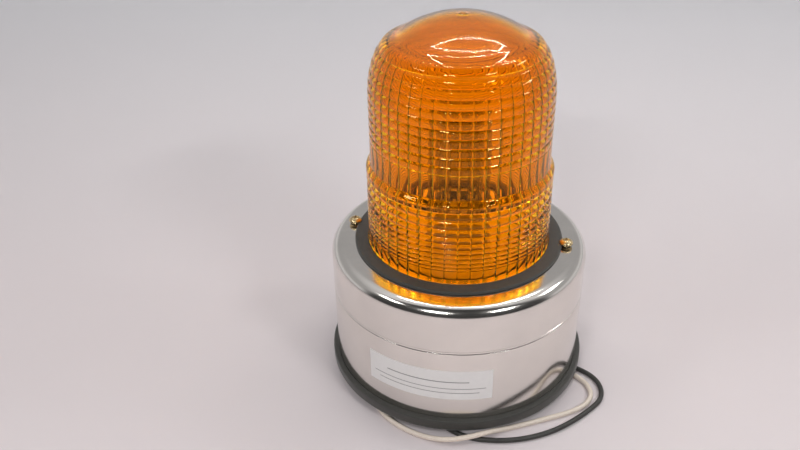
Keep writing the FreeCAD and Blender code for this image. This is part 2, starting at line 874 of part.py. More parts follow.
def lower_ring_heights():
    """The groove heights of the lower rings, which crowd downwards, lowest first."""
    heights = [(lens_step - S.lower_ring_start).value]
    pitch = S.lower_ring_pitch.value
    for index in range(S.count("lower_ring_count")):
        heights.append(heights[-1] - pitch)
        pitch *= RING_SHRINK_SHARE
    return list(reversed(heights))


def upper_ring_heights():
    """The groove heights of the upper rings, up the side and over the shoulder."""
    start = (lens_step + S.smooth_band).value
    return [start + S.upper_ring_pitch.value * index for index in range(S.count("upper_ring_count") + 1)]


def groove(radius, height):
    return Vector(radius - S.ring_groove_depth.value, 0, height)


def ring_edges(heights, radius_at):
    """Outward bulging rings between grooves at the heights given, each made of narrow straight bands."""
    spots = []
    for low, high in zip(heights, heights[1:]):
        middle = (low + high) * HALF_SHARE
        bulge = Part.Arc(groove(radius_at(low), low), Vector(radius_at(middle), 0, middle),
                         groove(radius_at(high), high))
        spots += bulge.toShape().discretize(Number=S.count("ring_bands") + 1)[:-1]
    spots.append(groove(radius_at(heights[-1]), heights[-1]))
    return straight_edges(spots)


def straight_edges(spots):
    """Straight outline edges through a row of spots."""
    return [Part.LineSegment(start, end).toShape() for start, end in zip(spots, spots[1:])]


def lens_outside():
    """The lens as a solid of revolution: flange, lower rings, step, upper rings, shoulder, cap."""
    lower = lower_ring_heights()
    upper = upper_ring_heights()
    lower_radius = lens_lower_radius.value
    upper_radius = lens_upper_radius.value
    flange = flange_radius.value
    cap = lens_cap_radius.value
    gate = S.gate_radius.value
    cap_low = shoulder_top.value
    gate_top = lens_top.value + S.gate_height.value
    edges = straight_edges([
        Vector(0, 0, flange_bottom.value), Vector(flange, 0, flange_bottom.value),
        Vector(flange, 0, flange_top.value), Vector(lower_radius, 0, flange_top.value),
        Vector(lower_radius, 0, lower[0]), groove(lower_radius, lower[0]),
    ])
    edges += ring_edges(lower, lambda height: lower_radius)
    edges += straight_edges([
        groove(lower_radius, lower[-1]), Vector(lower_radius, 0, lower[-1]),
        Vector(lower_radius, 0, lens_step.value), Vector(upper_radius, 0, upper_start.value),
        Vector(upper_radius, 0, upper[0]), groove(upper_radius, upper[0]),
    ])
    edges += ring_edges(upper, lens_radius)
    edges += straight_edges([groove(lens_radius(upper[-1]), upper[-1]), Vector(cap, 0, cap_low)])
    edges.append(cap_edge(cap, cap_low, lens_top.value))
    edges += straight_edges([Vector(0, 0, lens_top.value), Vector(0, 0, flange_bottom.value)])
    face = Part.Face(Part.Wire(edges))
    shell = face.revolve(Vector(0, 0, 0), Vector(0, 0, 1), 360)
    mark_low = lens_top.value - S.gate_height.value
    mark = Part.makeCylinder(gate, gate_top - mark_low, Vector(0, 0, mark_low))
    return shell.fuse(mark)


def fluted_column(radius, bottom, top):
    """A column whose side is a row of upright convex flutes."""
    count = S.count("flute_count")
    step = 2 * math.pi / count
    valley = radius - S.flute_depth.value
    edges = []
    for index in range(count):
        ends = []
        for reach, angle in ((valley, index), (radius, index + HALF_SHARE), (valley, index + 1)):
            turn = step * (angle % count)
            ends.append(Vector(reach * math.cos(turn), reach * math.sin(turn), bottom))
        edges.append(Part.Arc(*ends).toShape())
    return Part.Face(Part.Wire(edges)).extrude(Vector(0, 0, top - bottom))


def lens_dome():
    """The smooth inside of the lens above its flutes."""
    wall = S.lens_wall.value
    low = shoulder_start.value
    side = lens_upper_radius.value - wall - S.ring_groove_depth.value - S.flute_depth.value / 2
    neck = lens_cap_radius.value - wall
    neck_height = shoulder_top.value - wall
    crown_height = lens_top.value - wall
    edges = straight_edges([Vector(0, 0, crown_height), Vector(0, 0, low), Vector(side, 0, low)])
    edges.append(shoulder_edge(side, low, neck, neck_height))
    edges.append(cap_edge(neck, neck_height, crown_height))
    return Part.Face(Part.Wire(edges)).revolve(Vector(0, 0, 0), Vector(0, 0, 1), 360)


def lens_inside():
    """The hollow of the lens: two fluted columns, the upper one narrower, and the dome."""
    wall = S.lens_wall.value + S.ring_groove_depth.value
    lower = lens_lower_radius.value - wall
    upper = lens_upper_radius.value - wall
    foot = flange_bottom.value - S.cut_overrun.value
    shelf = lens_step.value - S.lens_wall.value
    return [fluted_column(lower, foot, shelf), fluted_column(upper, foot, shoulder_start.value), lens_dome()]


def make_lens():
    """The amber lens: ringed outside, fluted inside, with a flange at its foot."""
    shape = lens_outside()
    for hollow in lens_inside():
        shape = shape.cut(hollow)
    return node(stored("lens", shape))


def pan_head(radius, head, side, height, flat, base, length, tip):
    """The outline of a pan-head screw whose head sits at a height."""
    bulge = (head - flat) * HEAD_ROUND_SHARE
    return [
        (0, base - length), (radius - tip, base - length), (radius, base - length + tip),
        (radius, base), (head, base), (head, base + side),
        (flat, base + height, bulge, "left"), (0, base + height),
    ]


def make_lens_screws():
    """The two cross-slotted screws whose heads hold the gasket down."""
    base = gasket_top + S.head_gap
    wide = S.cross_length / 2
    slim = S.cross_width / 2
    cross = [(slim, wide), (-slim, wide), (-slim, slim), (-wide, slim), (-wide, -slim), (-slim, -slim),
             (-slim, -wide), (slim, -wide), (slim, -slim), (wide, -slim), (wide, slim), (slim, slim)]
    for index, (x, y, angle) in enumerate(lens_screw_spots()):
        screw = turned("lens_screw_" + str(index + 1), pan_head(
            S.lens_screw_radius, S.lens_screw_head, S.lens_screw_head_side, S.lens_screw_head_height,
            S.lens_screw_head_top, base, S.lens_screw_length, S.screw_tip))
        sunk(screw, base + S.lens_screw_head_height, S.cross_depth, None, cross, "cross")
        place(screw, x, y, 0)
        node(screw)


def make_label():
    """The plain sticker on the front of the lower shell."""
    inner = S.housing_radius + S.seat_gap
    low = ring_bottom + S.label_rise
    high = low + S.label_height
    outer = inner + S.label_thickness
    label = turned("label", [(inner, low), (outer, low), (outer, high), (inner, high)], S.label_sweep_angle)
    label.Placement.Rotation = Rotation(Vector(0, 0, 1), S.label_start_angle.value)
    return node(label)


def lead_spots():
    """Where the white and the black lead pass through the bushing."""
    half_x = S.lead_pitch_x / 2
    half_y = S.lead_pitch_y / 2
    white = (S.bushing_x - half_x, S.bushing_y - half_y)
    black = (S.bushing_x + half_x, S.bushing_y + half_y)
    return white, black


def make_lead_bushing():
    """The snap bushing in the base plate, with a hole for each lead."""
    flange = S.bushing_flange_radius
    neck = S.bushing_radius - S.trim_fit
    low = plate_bottom - S.bushing_flange
    high = plate_top + S.bushing_flange
    bushing = turned("lead_bushing", [
        (0, low), (flange, low), (flange, plate_bottom), (neck, plate_bottom),
        (neck, plate_top), (flange, plate_top), (flange, high), (0, high),
    ])
    place(bushing, S.bushing_x, S.bushing_y, 0)
    holes = []
    for x, y in lead_spots():
        holes.append((x - S.bushing_x, y - S.bushing_y, S.lead_radius + S.trim_fit))
    return node(drilled(bushing, holes))


def laid_route(points):
    """A lead's route, which follows the board at the bushing and the rubber ring further out."""
    share = S.layout.value
    planned_ring = (S.layout_radius + S.board_inset + S.housing_wall + S.ring_proud).value
    x, y, z = points[0]
    bushing = math.hypot(x, y)
    spread = (ring_radius.value - planned_ring * share) / (planned_ring - bushing)
    route = []
    for x, y, z in points:
        radius = math.hypot(x, y)
        scale = share + spread * max(0, radius - bushing) / radius
        route.append((x * scale, y * scale, z))
    return route


def make_leads():
    """The two supply leads on the floor, each with its stripped end."""
    for label, points in (("white_lead", WHITE_ROUTE), ("black_lead", BLACK_ROUTE)):
        route = laid_route(points)
        node(stored(label, tube(label, route, S.lead_radius.value)))
        end = Vector(*route[-1])
        heading = (end - Vector(*route[-2])).normalize()
        core = Part.makeCylinder(S.lead_core_radius.value, S.lead_tip_length.value, end, heading)
        node(stored(label + "_core", core))


def make_inner_leads():
    """The same two leads inside the housing, from the bushing up to the terminal block."""
    face = S.terminal_y - S.terminal_width / 2
    entry = board_top + S.terminal_height * LEAD_ENTRY_SHARE
    low = plate_bottom - S.bushing_flange
    rise = entry - low
    first_corner, second_corner = (low + rise * share for share in LEAD_CORNER_SHARES)
    for label, (x, y), side in zip(("white_inner_lead", "black_inner_lead"), lead_spots(), (-1, 1)):
        target = S.terminal_x + S.terminal_pitch * side / 2
        near, far = (y + (face - y) * share for share in LEAD_REACH_SHARES)
        points = [(x, y, low), (x, y, first_corner), (x, near, second_corner),
                  (target, far, entry), (target, face, entry)]
        spots = [tuple(as_length(part).value for part in point) for point in points]
        node(stored(label, tube(label, spots, S.lead_radius.value)))


def post_spots():
    return around(post_ring, S.count("post_count"), S.post_start_angle.value)


def hexagon(label, height, spot):
    """An upright six-sided bar."""
    item = doc.addObject("Part::Prism", label)
    item.Label = label
    item.Polygon = S.count("post_sides")
    bind(item, "Circumradius", S.post_radius)
    bind(item, "Height", height)
    place(item, *spot)
    return item


def make_board_standoffs():
    """Short hexagonal standoffs between the base plate and the board."""
    standoffs = []
    for index, (x, y, angle) in enumerate(post_spots()):
        name = "board_standoff_" + str(index + 1)
        bar = hexagon(name + "_bar", S.board_height, (x, y, plate_top))
        bore = cylinder(name + "_bore", S.stud_radius + S.thread_fit, S.board_height, (x, y, plate_top))
        standoffs.append(less(name, bar, bore))
    return node(group("board_standoffs", standoffs))


def make_chassis_posts():
    """Long hexagonal posts: a stud down through the board, and a tapped top."""
    posts = []
    for index, (x, y, angle) in enumerate(post_spots()):
        name = "chassis_post_" + str(index + 1)
        bar = hexagon(name + "_bar", post_height, (x, y, board_top))
        stud = cylinder(name + "_stud", S.stud_radius, S.stud_length, (x, y, board_top - S.stud_length))
        depth = S.chassis_screw_length
        bore = cylinder(name + "_bore", S.stud_radius + S.thread_fit, depth, (x, y, chassis_bottom - depth))
        posts.append(less(name, joined(name + "_solid", [bar, stud]), bore))
    return node(group("chassis_posts", posts))


def make_circuit_board():
    """The round power board."""
    body = turned("circuit_board", [(0, board_bottom), (board_radius, board_bottom),
                                    (board_radius, board_top), (0, board_top)])
    holes = [(x, y, S.stud_radius + S.thread_fit) for x, y, angle in post_spots()]
    holes.append((S.bushing_x, S.bushing_y, S.board_wire_hole))
    return node(drilled(body, holes))


def make_chassis_plate():
    """The plate over the board that carries the tube socket."""
    body = turned("chassis_plate", [
        (S.chassis_bore, chassis_bottom), (chassis_radius, chassis_bottom),
        (chassis_radius, chassis_top), (S.chassis_bore, chassis_top),
    ])
    return node(drilled(body, [(x, y, S.stud_radius + S.thread_fit) for x, y, angle in post_spots()]))


def make_chassis_screws():
    """Screws that hold the chassis plate on its posts."""
    screws = []
    for index, (x, y, angle) in enumerate(post_spots()):
        screw = turned("chassis_screw_" + str(index + 1), pan_head(
            S.stud_radius, S.chassis_screw_head, S.lens_screw_head_side, S.chassis_screw_head_height,
            S.lens_screw_head_top, chassis_top, S.chassis_screw_length, S.screw_tip))
        place(screw, x, y, 0)
        screws.append(screw)
    return node(group("chassis_screws", screws))


def pin_spots():
    return around(S.pin_circle / 2, S.count("pin_count"), S.pin_start_angle.value)


def make_tube_socket():
    """The moulded socket that the flash tube plugs into."""
    body = turned("tube_socket", [
        (0, socket_low), (S.socket_radius, socket_low), (S.socket_radius, chassis_top),
        (S.socket_flange_radius, chassis_top), (S.socket_flange_radius, chassis_top + S.socket_flange),
        (S.socket_radius, chassis_top + S.socket_flange), (S.socket_radius, socket_top), (0, socket_top),
    ])
    holes = [(x, y, S.pin_radius + S.trim_fit) for x, y, angle in pin_spots()]
    return node(sunk(body, socket_top, S.socket_hole_depth, holes, None, "pin_holes"))


def make_reflector():
    """The dished reflector round the socket."""
    low = chassis_top + S.socket_flange
    high = low + S.reflector_rise
    wall = S.reflector_wall
    return node(turned("reflector", [
        (S.socket_radius + S.sliding_fit, low), (S.reflector_foot, low), (reflector_radius, high),
        (reflector_radius, high + wall), (S.reflector_foot, low + wall),
        (S.socket_radius + S.sliding_fit, low + wall),
    ]))


def tube_heights():
    """The heights where the flash tube's pieces meet."""
    shoulder = tube_bottom + S.tube_base_height
    boss = shoulder + S.tube_boss_height
    cap_bottom = boss + S.tube_lead_height
    glass_bottom = cap_bottom + S.electrode_height
    return shoulder, boss, cap_bottom, glass_bottom


def arc_top():
    """The height of the hairpin's top."""
    shoulder, boss, cap_bottom, glass_bottom = tube_heights()
    return glass_bottom + S.arc_leg_height + S.arc_leg_spacing / 2 + S.arc_tube_radius


def make_tube_base():
    """The flash tube's moulded plug base."""
    shoulder, boss, cap_bottom, glass_bottom = tube_heights()
    boss_radius = S.envelope_radius - S.envelope_wall - S.trim_fit
    return node(turned("tube_base", [
        (0, tube_bottom), (S.tube_base_radius, tube_bottom), (S.tube_base_radius, shoulder),
        (boss_radius, shoulder), (boss_radius, boss), (0, boss),
    ]))


def make_tube_pins():
    """The plug pins under the base."""
    pins = []
    for index, (x, y, angle) in enumerate(pin_spots()):
        foot = tube_bottom - S.pin_length
        pins.append(cylinder("tube_pin_" + str(index + 1), S.pin_radius, S.pin_length, (x, y, foot)))
    return node(group("tube_pins", pins))


def make_tube_envelope():
    """The clear glass cover cemented on the base, round at its top."""
    shoulder, boss, cap_bottom, glass_bottom = tube_heights()
    inner = S.envelope_radius - S.envelope_wall
    top = arc_top() + S.envelope_headroom
    spring = top - S.envelope_radius
    return node(turned("tube_envelope", [
        (inner, shoulder), (S.envelope_radius, shoulder), (S.envelope_radius, spring),
        (0, top, S.envelope_radius, "left"), (0, top - S.envelope_wall), (inner, spring, inner, "right"),
    ]))


def hairpin(radius, overrun):
    """A hairpin tube: two legs and a half circle, as one solid."""
    shoulder, boss, cap_bottom, glass_bottom = tube_heights()
    reach = (S.arc_leg_spacing / 2).value
    low = glass_bottom.value - overrun
    high = glass_bottom.value + S.arc_leg_height.value
    slant = reach * math.cos(math.pi / 4)
    wire = Part.Wire([
        Part.LineSegment(Vector(-reach, 0, low), Vector(-reach, 0, high)).toShape(),
        Part.Arc(Vector(-reach, 0, high), Vector(-slant, 0, high + slant),
                 Vector(0, 0, high + reach)).toShape(),
        Part.Arc(Vector(0, 0, high + reach), Vector(slant, 0, high + slant),
                 Vector(reach, 0, high)).toShape(),
        Part.LineSegment(Vector(reach, 0, high), Vector(reach, 0, low)).toShape(),
    ])
    ring = Part.Wire(Part.makeCircle(radius, Vector(-reach, 0, low), Vector(0, 0, 1)))
    return wire.makePipeShell([ring], True, False)


def make_flash_tube():
    """The hairpin glass arc tube."""
    outer = hairpin(S.arc_tube_radius.value, 0)
    inner = hairpin(S.arc_tube_radius.value - S.arc_tube_wall.value, S.cut_overrun.value)
    return node(stored("flash_tube", outer.cut(inner)))


def arc_leg_spots():
    return around(S.arc_leg_spacing / 2, 2)


def make_tube_electrodes():
    """The metal caps at the two ends of the arc tube."""
    shoulder, boss, cap_bottom, glass_bottom = tube_heights()
    caps = []
    for index, (x, y, angle) in enumerate(arc_leg_spots()):
        name = "tube_electrode_" + str(index + 1)
        caps.append(cylinder(name, S.arc_tube_radius, S.electrode_height, (x, y, cap_bottom)))
    return node(group("tube_electrodes", caps))


def make_tube_leads():
    """The stiff wires that carry the arc tube on its base."""
    shoulder, boss, cap_bottom, glass_bottom = tube_heights()
    wires = []
    for index, (x, y, angle) in enumerate(arc_leg_spots()):
        name = "tube_lead_" + str(index + 1)
        wires.append(cylinder(name, S.tube_lead_radius, S.tube_lead_height, (x, y, boss)))
    return node(group("tube_leads", wires))


def make_trigger_wire():
    """The thin trigger wire that loops over the arc tube."""
    shoulder, boss, cap_bottom, glass_bottom = tube_heights()
    reach = S.trigger_wire_reach.value
    bend = S.trigger_wire_bend.value
    low = boss.value
    high = arc_top().value + S.trigger_wire_gap.value
    points = [(-reach, 0, low), (-reach, 0, high - bend), (bend - reach, 0, high),
              (reach - bend, 0, high), (reach, 0, high - bend), (reach, 0, low)]
    return node(stored("trigger_wire", tube("trigger_wire", points, S.trigger_wire_radius.value)))


def make_transformer():
    """The power transformer: a laminated core with two windows and a winding round its middle leg."""
    length, width, height = S.core_length, S.core_width, tall_part_height
    centre = (S.core_x, 0, board_top)
    window = S.core_window
    rise = height - S.core_leg * 2
    shift = (length / 2 - S.core_leg) - window / 2
    full = block("transformer_core_full", (length, width, height), centre)
    windows = []
    for index, side in enumerate((-1, 1)):
        spot = (S.core_x + shift * side, 0, board_top + S.core_leg)
        size = (window, width + S.cut_overrun * 2, rise)
        windows.append(block("transformer_window_" + str(index + 1), size, spot))
    node(less("transformer_core", full, group("transformer_windows", windows)))
    clear = S.winding_clear
    outer_length = length - S.core_leg * 2 - clear * 2
    leg = length - S.core_leg * 2 - window * 2
    lift = board_top + S.core_leg + clear
    tall = rise - clear * 2
    outer = block("transformer_winding_outer", (outer_length, S.winding_width, tall),
                  (S.core_x, 0, lift))
    inner = block("transformer_winding_inner", (leg + clear * 2, width + clear * 2, tall),
                  (S.core_x, 0, lift))
    node(less("transformer_winding", outer, inner))


def make_storage_capacitors():
    """The two storage capacitors, standing cans with a rounded top."""
    radius, edge = S.capacitor_radius, S.capacitor_round
    top = board_top + tall_part_height
    for index, side in enumerate((-1, 1)):
        can = turned("storage_capacitor_" + str(index + 1), [
            (0, board_top), (radius, board_top), (radius, top - edge),
            (radius - edge, top, edge, "left"), (0, top),
        ])
        place(can, S.capacitor_x, S.capacitor_y * side, 0)
        node(can)


def make_small_board_parts():
    """The film capacitor, trigger coil, resistors and thyristor on the board."""
    node(block("trigger_capacitor", (S.film_length, S.film_width, S.film_height),
               (S.film_x, S.film_y, board_top)))
    node(cylinder("trigger_coil", S.coil_radius, S.coil_height, (S.coil_x, S.coil_y, board_top)))
    for index in range(2):
        spot = (S.resistor_x, S.resistor_y - S.resistor_pitch * index, board_top)
        size = (S.resistor_length, S.resistor_width, S.resistor_height)
        node(block("power_resistor_" + str(index + 1), size, spot))
    node(block("trigger_thyristor", (S.thyristor_depth, S.thyristor_width, S.thyristor_height),
               (S.thyristor_x, S.thyristor_y, board_top)))


def make_rectifier_diodes():
    """Four diodes lying side by side, each with a lead leg at both ends."""
    diodes = []
    height = S.diode_radius
    reach = S.diode_length / 2 + S.diode_lead_reach
    for index in range(S.count("diode_count")):
        x = S.diode_x + S.diode_pitch * index
        name = "rectifier_diode_" + str(index + 1)
        start = S.diode_y - S.diode_length / 2
        axis = board_top + height
        can = lying(cylinder(name + "_can", S.diode_radius, S.diode_length, (x, start, axis)), 90)
        wire_start = S.diode_y - reach
        wire = lying(cylinder(name + "_wire", S.diode_lead, reach * 2, (x, wire_start, axis)), 90)
        legs = []
        for side, end in enumerate((wire_start, S.diode_y + reach)):
            leg_name = name + "_leg_" + str(side + 1)
            legs.append(cylinder(leg_name, S.diode_lead, height, (x, end, board_top)))
        diodes.append(joined(name, [can, wire] + legs))
    return node(group("rectifier_diodes", diodes))


def make_fuse():
    """The glass fuse lying in its two clips."""
    start = S.fuse_x - S.fuse_length / 2
    axis = board_top + S.fuse_height
    node(lying(cylinder("fuse", S.fuse_radius, S.fuse_length, (start, S.fuse_y, axis)), 0))
    clips = []
    for index, side in enumerate((-1, 1)):
        name = "fuse_clip_" + str(index + 1)
        x = S.fuse_x + (S.fuse_length / 2 - S.clip_length / 2) * side
        size = (S.clip_length, S.clip_width, S.clip_height)
        full = block(name + "_block", size, (x, S.fuse_y, board_top))
        bore_start = x - S.clip_length / 2 - S.cut_overrun
        bore = cylinder(name + "_bore", S.fuse_radius + S.thread_fit, S.clip_length + S.cut_overrun * 2,
                        (bore_start, S.fuse_y, axis))
        clips.append(less(name, full, lying(bore, 0)))
    node(group("fuse_clips", clips))


def make_terminal_block():
    """The two-way terminal block with a clamp screw over each lead."""
    top = board_top + S.terminal_height
    depth = S.terminal_screw_depth
    full = block("terminal_body", (S.terminal_length, S.terminal_width, S.terminal_height),
                 (S.terminal_x, S.terminal_y, board_top))
    holes = []
    screws = []
    for index, side in enumerate((-1, 1)):
        x = S.terminal_x + S.terminal_pitch * side / 2
        spot = (x, S.terminal_y, top - depth)
        name = "terminal_screw_" + str(index + 1)
        holes.append(cylinder(name + "_hole", S.terminal_screw_radius + S.thread_fit, depth, spot))
        height = depth - S.terminal_slot_depth
        screw = cylinder(name + "_shank", S.terminal_screw_radius, height, spot)
        slot_size = (S.terminal_screw_radius * 2, S.terminal_slot_width, S.terminal_slot_depth)
        slot_floor = top - S.terminal_slot_depth * 2
        slot = block(name + "_slot", slot_size, (x, S.terminal_y, slot_floor))
        screws.append(less(name, screw, slot))
    node(less("terminal_block", full, group("terminal_holes", holes)))
    node(group("terminal_screws", screws))


def make_lamp_wires():
    """Three wires from the board up to the underside of the socket."""
    rise = socket_low - board_top
    first_corner, second_corner = (board_top + rise * share for share in WIRE_CORNER_SHARES)
    wires = []
    for index in (-1, 0, 1):
        x = S.lamp_wire_x
        y = S.lamp_wire_pitch * index
        inner_x = x * WIRE_INWARD_SHARE
        inner_y = y * WIRE_CLOSER_SHARE
        points = [(x, y, board_top), (x, y, first_corner), (inner_x, inner_y, second_corner),
                  (inner_x, inner_y, socket_low)]
        spots = [tuple(as_length(part).value for part in point) for point in points]
        wires.append(tube("lamp_wire", spots, S.lamp_wire_radius.value))
    return node(stored("lamp_wires", Part.makeCompound(wires)))


def build():
    """Make every sub-part of the object."""
    make_lower_housing()
    make_base_plate()
    make_base_rivets()
    make_pipe_hub()
    make_hub_rivets()
    make_base_ring()
    make_label()
    make_lead_bushing()
    make_leads()
    make_inner_leads()
    make_board_standoffs()
    make_circuit_board()
    make_chassis_posts()
    make_chassis_plate()
    make_chassis_screws()
    make_tube_socket()
    make_reflector()
    make_transformer()
    make_storage_capacitors()
    make_small_board_parts()
    make_rectifier_diodes()
    make_fuse()
    make_terminal_block()
    make_lamp_wires()
    make_upper_cover()
    make_lens_nuts()
    make_lens()
    make_lens_gasket()
    make_lens_screws()
    make_tube_base()
    make_tube_pins()
    make_tube_envelope()
    make_flash_tube()
    make_tube_electrodes()
    make_tube_leads()
    make_trigger_wire()
    doc.recompute()


def check_and_write():
    """Stop on any failed object, then write each sub-part to its own file."""
    for item in doc.Objects:
        if "Invalid" in item.State or "Error" in item.State:
            raise RuntimeError(item.Label + " failed: " + str(item.State))
    for item in nodes:
        if item.Shape.isNull() or not item.Shape.isValid():
            raise RuntimeError(item.Label + " has no valid shape")
        if not item.Shape.Solids:
            raise RuntimeError(item.Label + " holds no solid")
    os.makedirs("parts", exist_ok=True)
    for item in nodes:
        item.Shape.exportStep(os.path.join("parts", item.Label + ".step"))


build()
check_and_write()
print(len(nodes), "sub-parts written")
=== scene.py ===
"""The looks of a round warning strobe light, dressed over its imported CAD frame.

The frame gives the places and sizes that the solids share. The fields of the classes hold what
the solids don't say, such as a rounded edge, a ring of the lens or the grain of a finish.
Lengths are in metres, the floor is at z = 0, Z is the light's axis and -Y is its front.
"""

import json
import logging
import math
from dataclasses import dataclass
from enum import Enum
from functools import cached_property
from typing import Callable, Sequence, Union

import bmesh
import bpy
from bpy.types import ID, Material, Mesh, Node, NodeTree, Object
from bpy.types import NodeSocket as Socket
from mathutils import Matrix, Vector

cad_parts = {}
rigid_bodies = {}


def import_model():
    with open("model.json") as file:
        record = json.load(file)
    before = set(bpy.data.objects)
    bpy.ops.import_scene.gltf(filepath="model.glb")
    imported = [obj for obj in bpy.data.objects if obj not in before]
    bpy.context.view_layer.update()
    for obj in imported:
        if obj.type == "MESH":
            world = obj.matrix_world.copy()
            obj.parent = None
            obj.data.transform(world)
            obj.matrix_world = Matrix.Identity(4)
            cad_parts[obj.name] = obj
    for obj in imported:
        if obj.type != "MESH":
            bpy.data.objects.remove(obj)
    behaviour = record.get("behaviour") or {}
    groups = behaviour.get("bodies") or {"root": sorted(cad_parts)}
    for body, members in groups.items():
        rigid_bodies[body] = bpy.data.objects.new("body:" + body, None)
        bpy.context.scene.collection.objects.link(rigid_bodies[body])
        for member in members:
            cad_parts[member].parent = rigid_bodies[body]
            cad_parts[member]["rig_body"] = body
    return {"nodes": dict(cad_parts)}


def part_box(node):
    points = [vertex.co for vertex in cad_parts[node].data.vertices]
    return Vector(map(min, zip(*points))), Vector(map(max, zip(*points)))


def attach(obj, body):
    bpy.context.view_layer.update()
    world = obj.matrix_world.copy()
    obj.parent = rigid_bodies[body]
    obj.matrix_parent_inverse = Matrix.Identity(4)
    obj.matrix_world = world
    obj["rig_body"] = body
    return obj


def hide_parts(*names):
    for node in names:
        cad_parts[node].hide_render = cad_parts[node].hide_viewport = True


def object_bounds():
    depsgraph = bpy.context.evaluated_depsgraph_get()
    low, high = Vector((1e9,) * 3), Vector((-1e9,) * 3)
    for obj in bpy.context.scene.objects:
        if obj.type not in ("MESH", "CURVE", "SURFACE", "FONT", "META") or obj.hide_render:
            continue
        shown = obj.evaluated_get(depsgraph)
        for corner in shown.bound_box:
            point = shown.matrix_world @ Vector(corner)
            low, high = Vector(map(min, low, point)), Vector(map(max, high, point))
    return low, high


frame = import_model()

CAD_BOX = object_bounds()
MM = 0.001
WELD = 1e-6
# Angles between faces in degrees: flatter than FLAT they are one face, from EASED an edge gets
# its bevel, and from SHARP it stays sharp.
FLAT = 0.4
SHARP = 35.0
EASED = 40.0

Triple = tuple[float, float, float]
Colour = tuple[float, float, float, float]
Span = tuple[float, float]
Feed = Union[float, tuple, Socket]
log = logging.getLogger("warning_strobe")


def opaque(shade: Triple) -> Colour:
    """A colour with full alpha."""
    return (*shade, 1.0)


def tone(*display: float) -> Colour:
    """Turn a colour written in display values into linear light.

    Args:
        display: Red, green and blue from 0 to 255.

    Returns:
        The linear colour with full alpha.
    """
    shares = [value / 255 for value in display]
    return opaque(tuple(s / 12.92 if s <= 0.04045 else ((s + 0.055) / 1.055) ** 2.4 for s in shares))


# ---- node trees


class Net:
    """Adds and joins the nodes of one node tree."""

    def __init__(self, tree: NodeTree) -> None:
        """Keep the tree that the nodes go into."""
        self.tree = tree

    def feed(self, socket: Socket, value: Feed) -> None:
        """Link a socket to another one, or set its value."""
        if isinstance(value, Socket):
            self.tree.links.new(value, socket)
        else:
            socket.default_value = value

    def fill(self, node: Node, inputs: dict) -> Node:
        """Feed several of a node's inputs, by name or number."""
        for key, value in inputs.items():
            self.feed(node.inputs[key], value)
        return node

    def add(self, kind: str, inputs: dict, **settings: object) -> Node:
        """Add a node.

        Args:
            kind: The node's type name.
            inputs: Values or sockets by input name or number.
            settings: Properties of the node itself.

        Returns:
            The new node.
        """
        node = self.tree.nodes.new(kind)
        for name, value in settings.items():
            setattr(node, name, value)
        return self.fill(node, inputs)

    def math(self, operation: str, first: Feed, second: Feed = 0.0) -> Socket:
        """Add a maths node and return its result."""
        return self.add("ShaderNodeMath", {0: first, 1: second}, operation=operation).outputs[0]

    def geo(self, kind: str, inputs: dict, **settings: object) -> Socket:
        """Add a geometry node and return its first result."""
        return self.add("GeometryNode" + kind, inputs, **settings).outputs[0]

    def times(self, first: Feed, second: Feed) -> Socket:
        """Multiply two values."""
        return self.math("MULTIPLY", first, second)

    def vector(self, **parts: Feed) -> Socket:
        """Join values into a vector by their axes."""
        return self.add("ShaderNodeCombineXYZ", parts).outputs[0]

    def spread(self, value: Feed, low: float, high: float, to_low: float = 0.0,
               to_high: float = 1.0) -> Socket:
        """Map a value from one range onto another, held at its ends."""
        return self.add("ShaderNodeMapRange", {
            "Value": value, "From Min": low, "From Max": high, "To Min": to_low, "To Max": to_high},
            clamp=True).outputs["Result"]

    def blend(self, share: Feed, first: Feed, second: Feed) -> Socket:
        """Mix two colours."""
        return self.add("ShaderNodeMix", {0: share, 6: first, 7: second}, data_type="RGBA").outputs[2]

    def mix(self, share: Feed, first: Feed, second: Feed) -> Socket:
        """Mix two values."""
        return self.add("ShaderNodeMix", {0: share, 2: first, 3: second}, data_type="FLOAT").outputs[0]


def open_group(name: str, kind: str, inputs: dict[str, str], outputs: dict[str, str]) -> tuple:
    """Start a node group with named sockets.

    Args:
        name: The group's name.
        kind: "Shader" or "Geometry".
        inputs: The kind of socket by the name of each input.
        outputs: The kind of socket by the name of each output.

    Returns:
        The tree, its net, the outputs of its input node and the inputs of its output node.
    """
    tree = bpy.data.node_groups.new(name, kind + "NodeTree")
    for way, sockets in (("INPUT", inputs), ("OUTPUT", outputs)):
        for label, socket in sockets.items():
            tree.interface.new_socket(name=label, in_out=way, socket_type="NodeSocket" + socket)
    entry = tree.nodes.new("NodeGroupInput")
    leave = tree.nodes.new("NodeGroupOutput")
    return tree, Net(tree), entry.outputs, leave.inputs


def new_material(name: str) -> tuple[Material, Net, Node]:
    """Make a material with nodes.

    Args:
        name: Its name.

    Returns:
        The material, its net and its shader.
    """
    material = bpy.data.materials.new(name)
    material.use_nodes = True
    return material, Net(material.node_tree), material.node_tree.nodes["Principled BSDF"]


class Effect(Enum):
    """The surface effects that several finishes share."""

    GRAIN = "surface_grain"
    BRUSHING = "surface_brushing"
    SPECKS = "surface_specks"


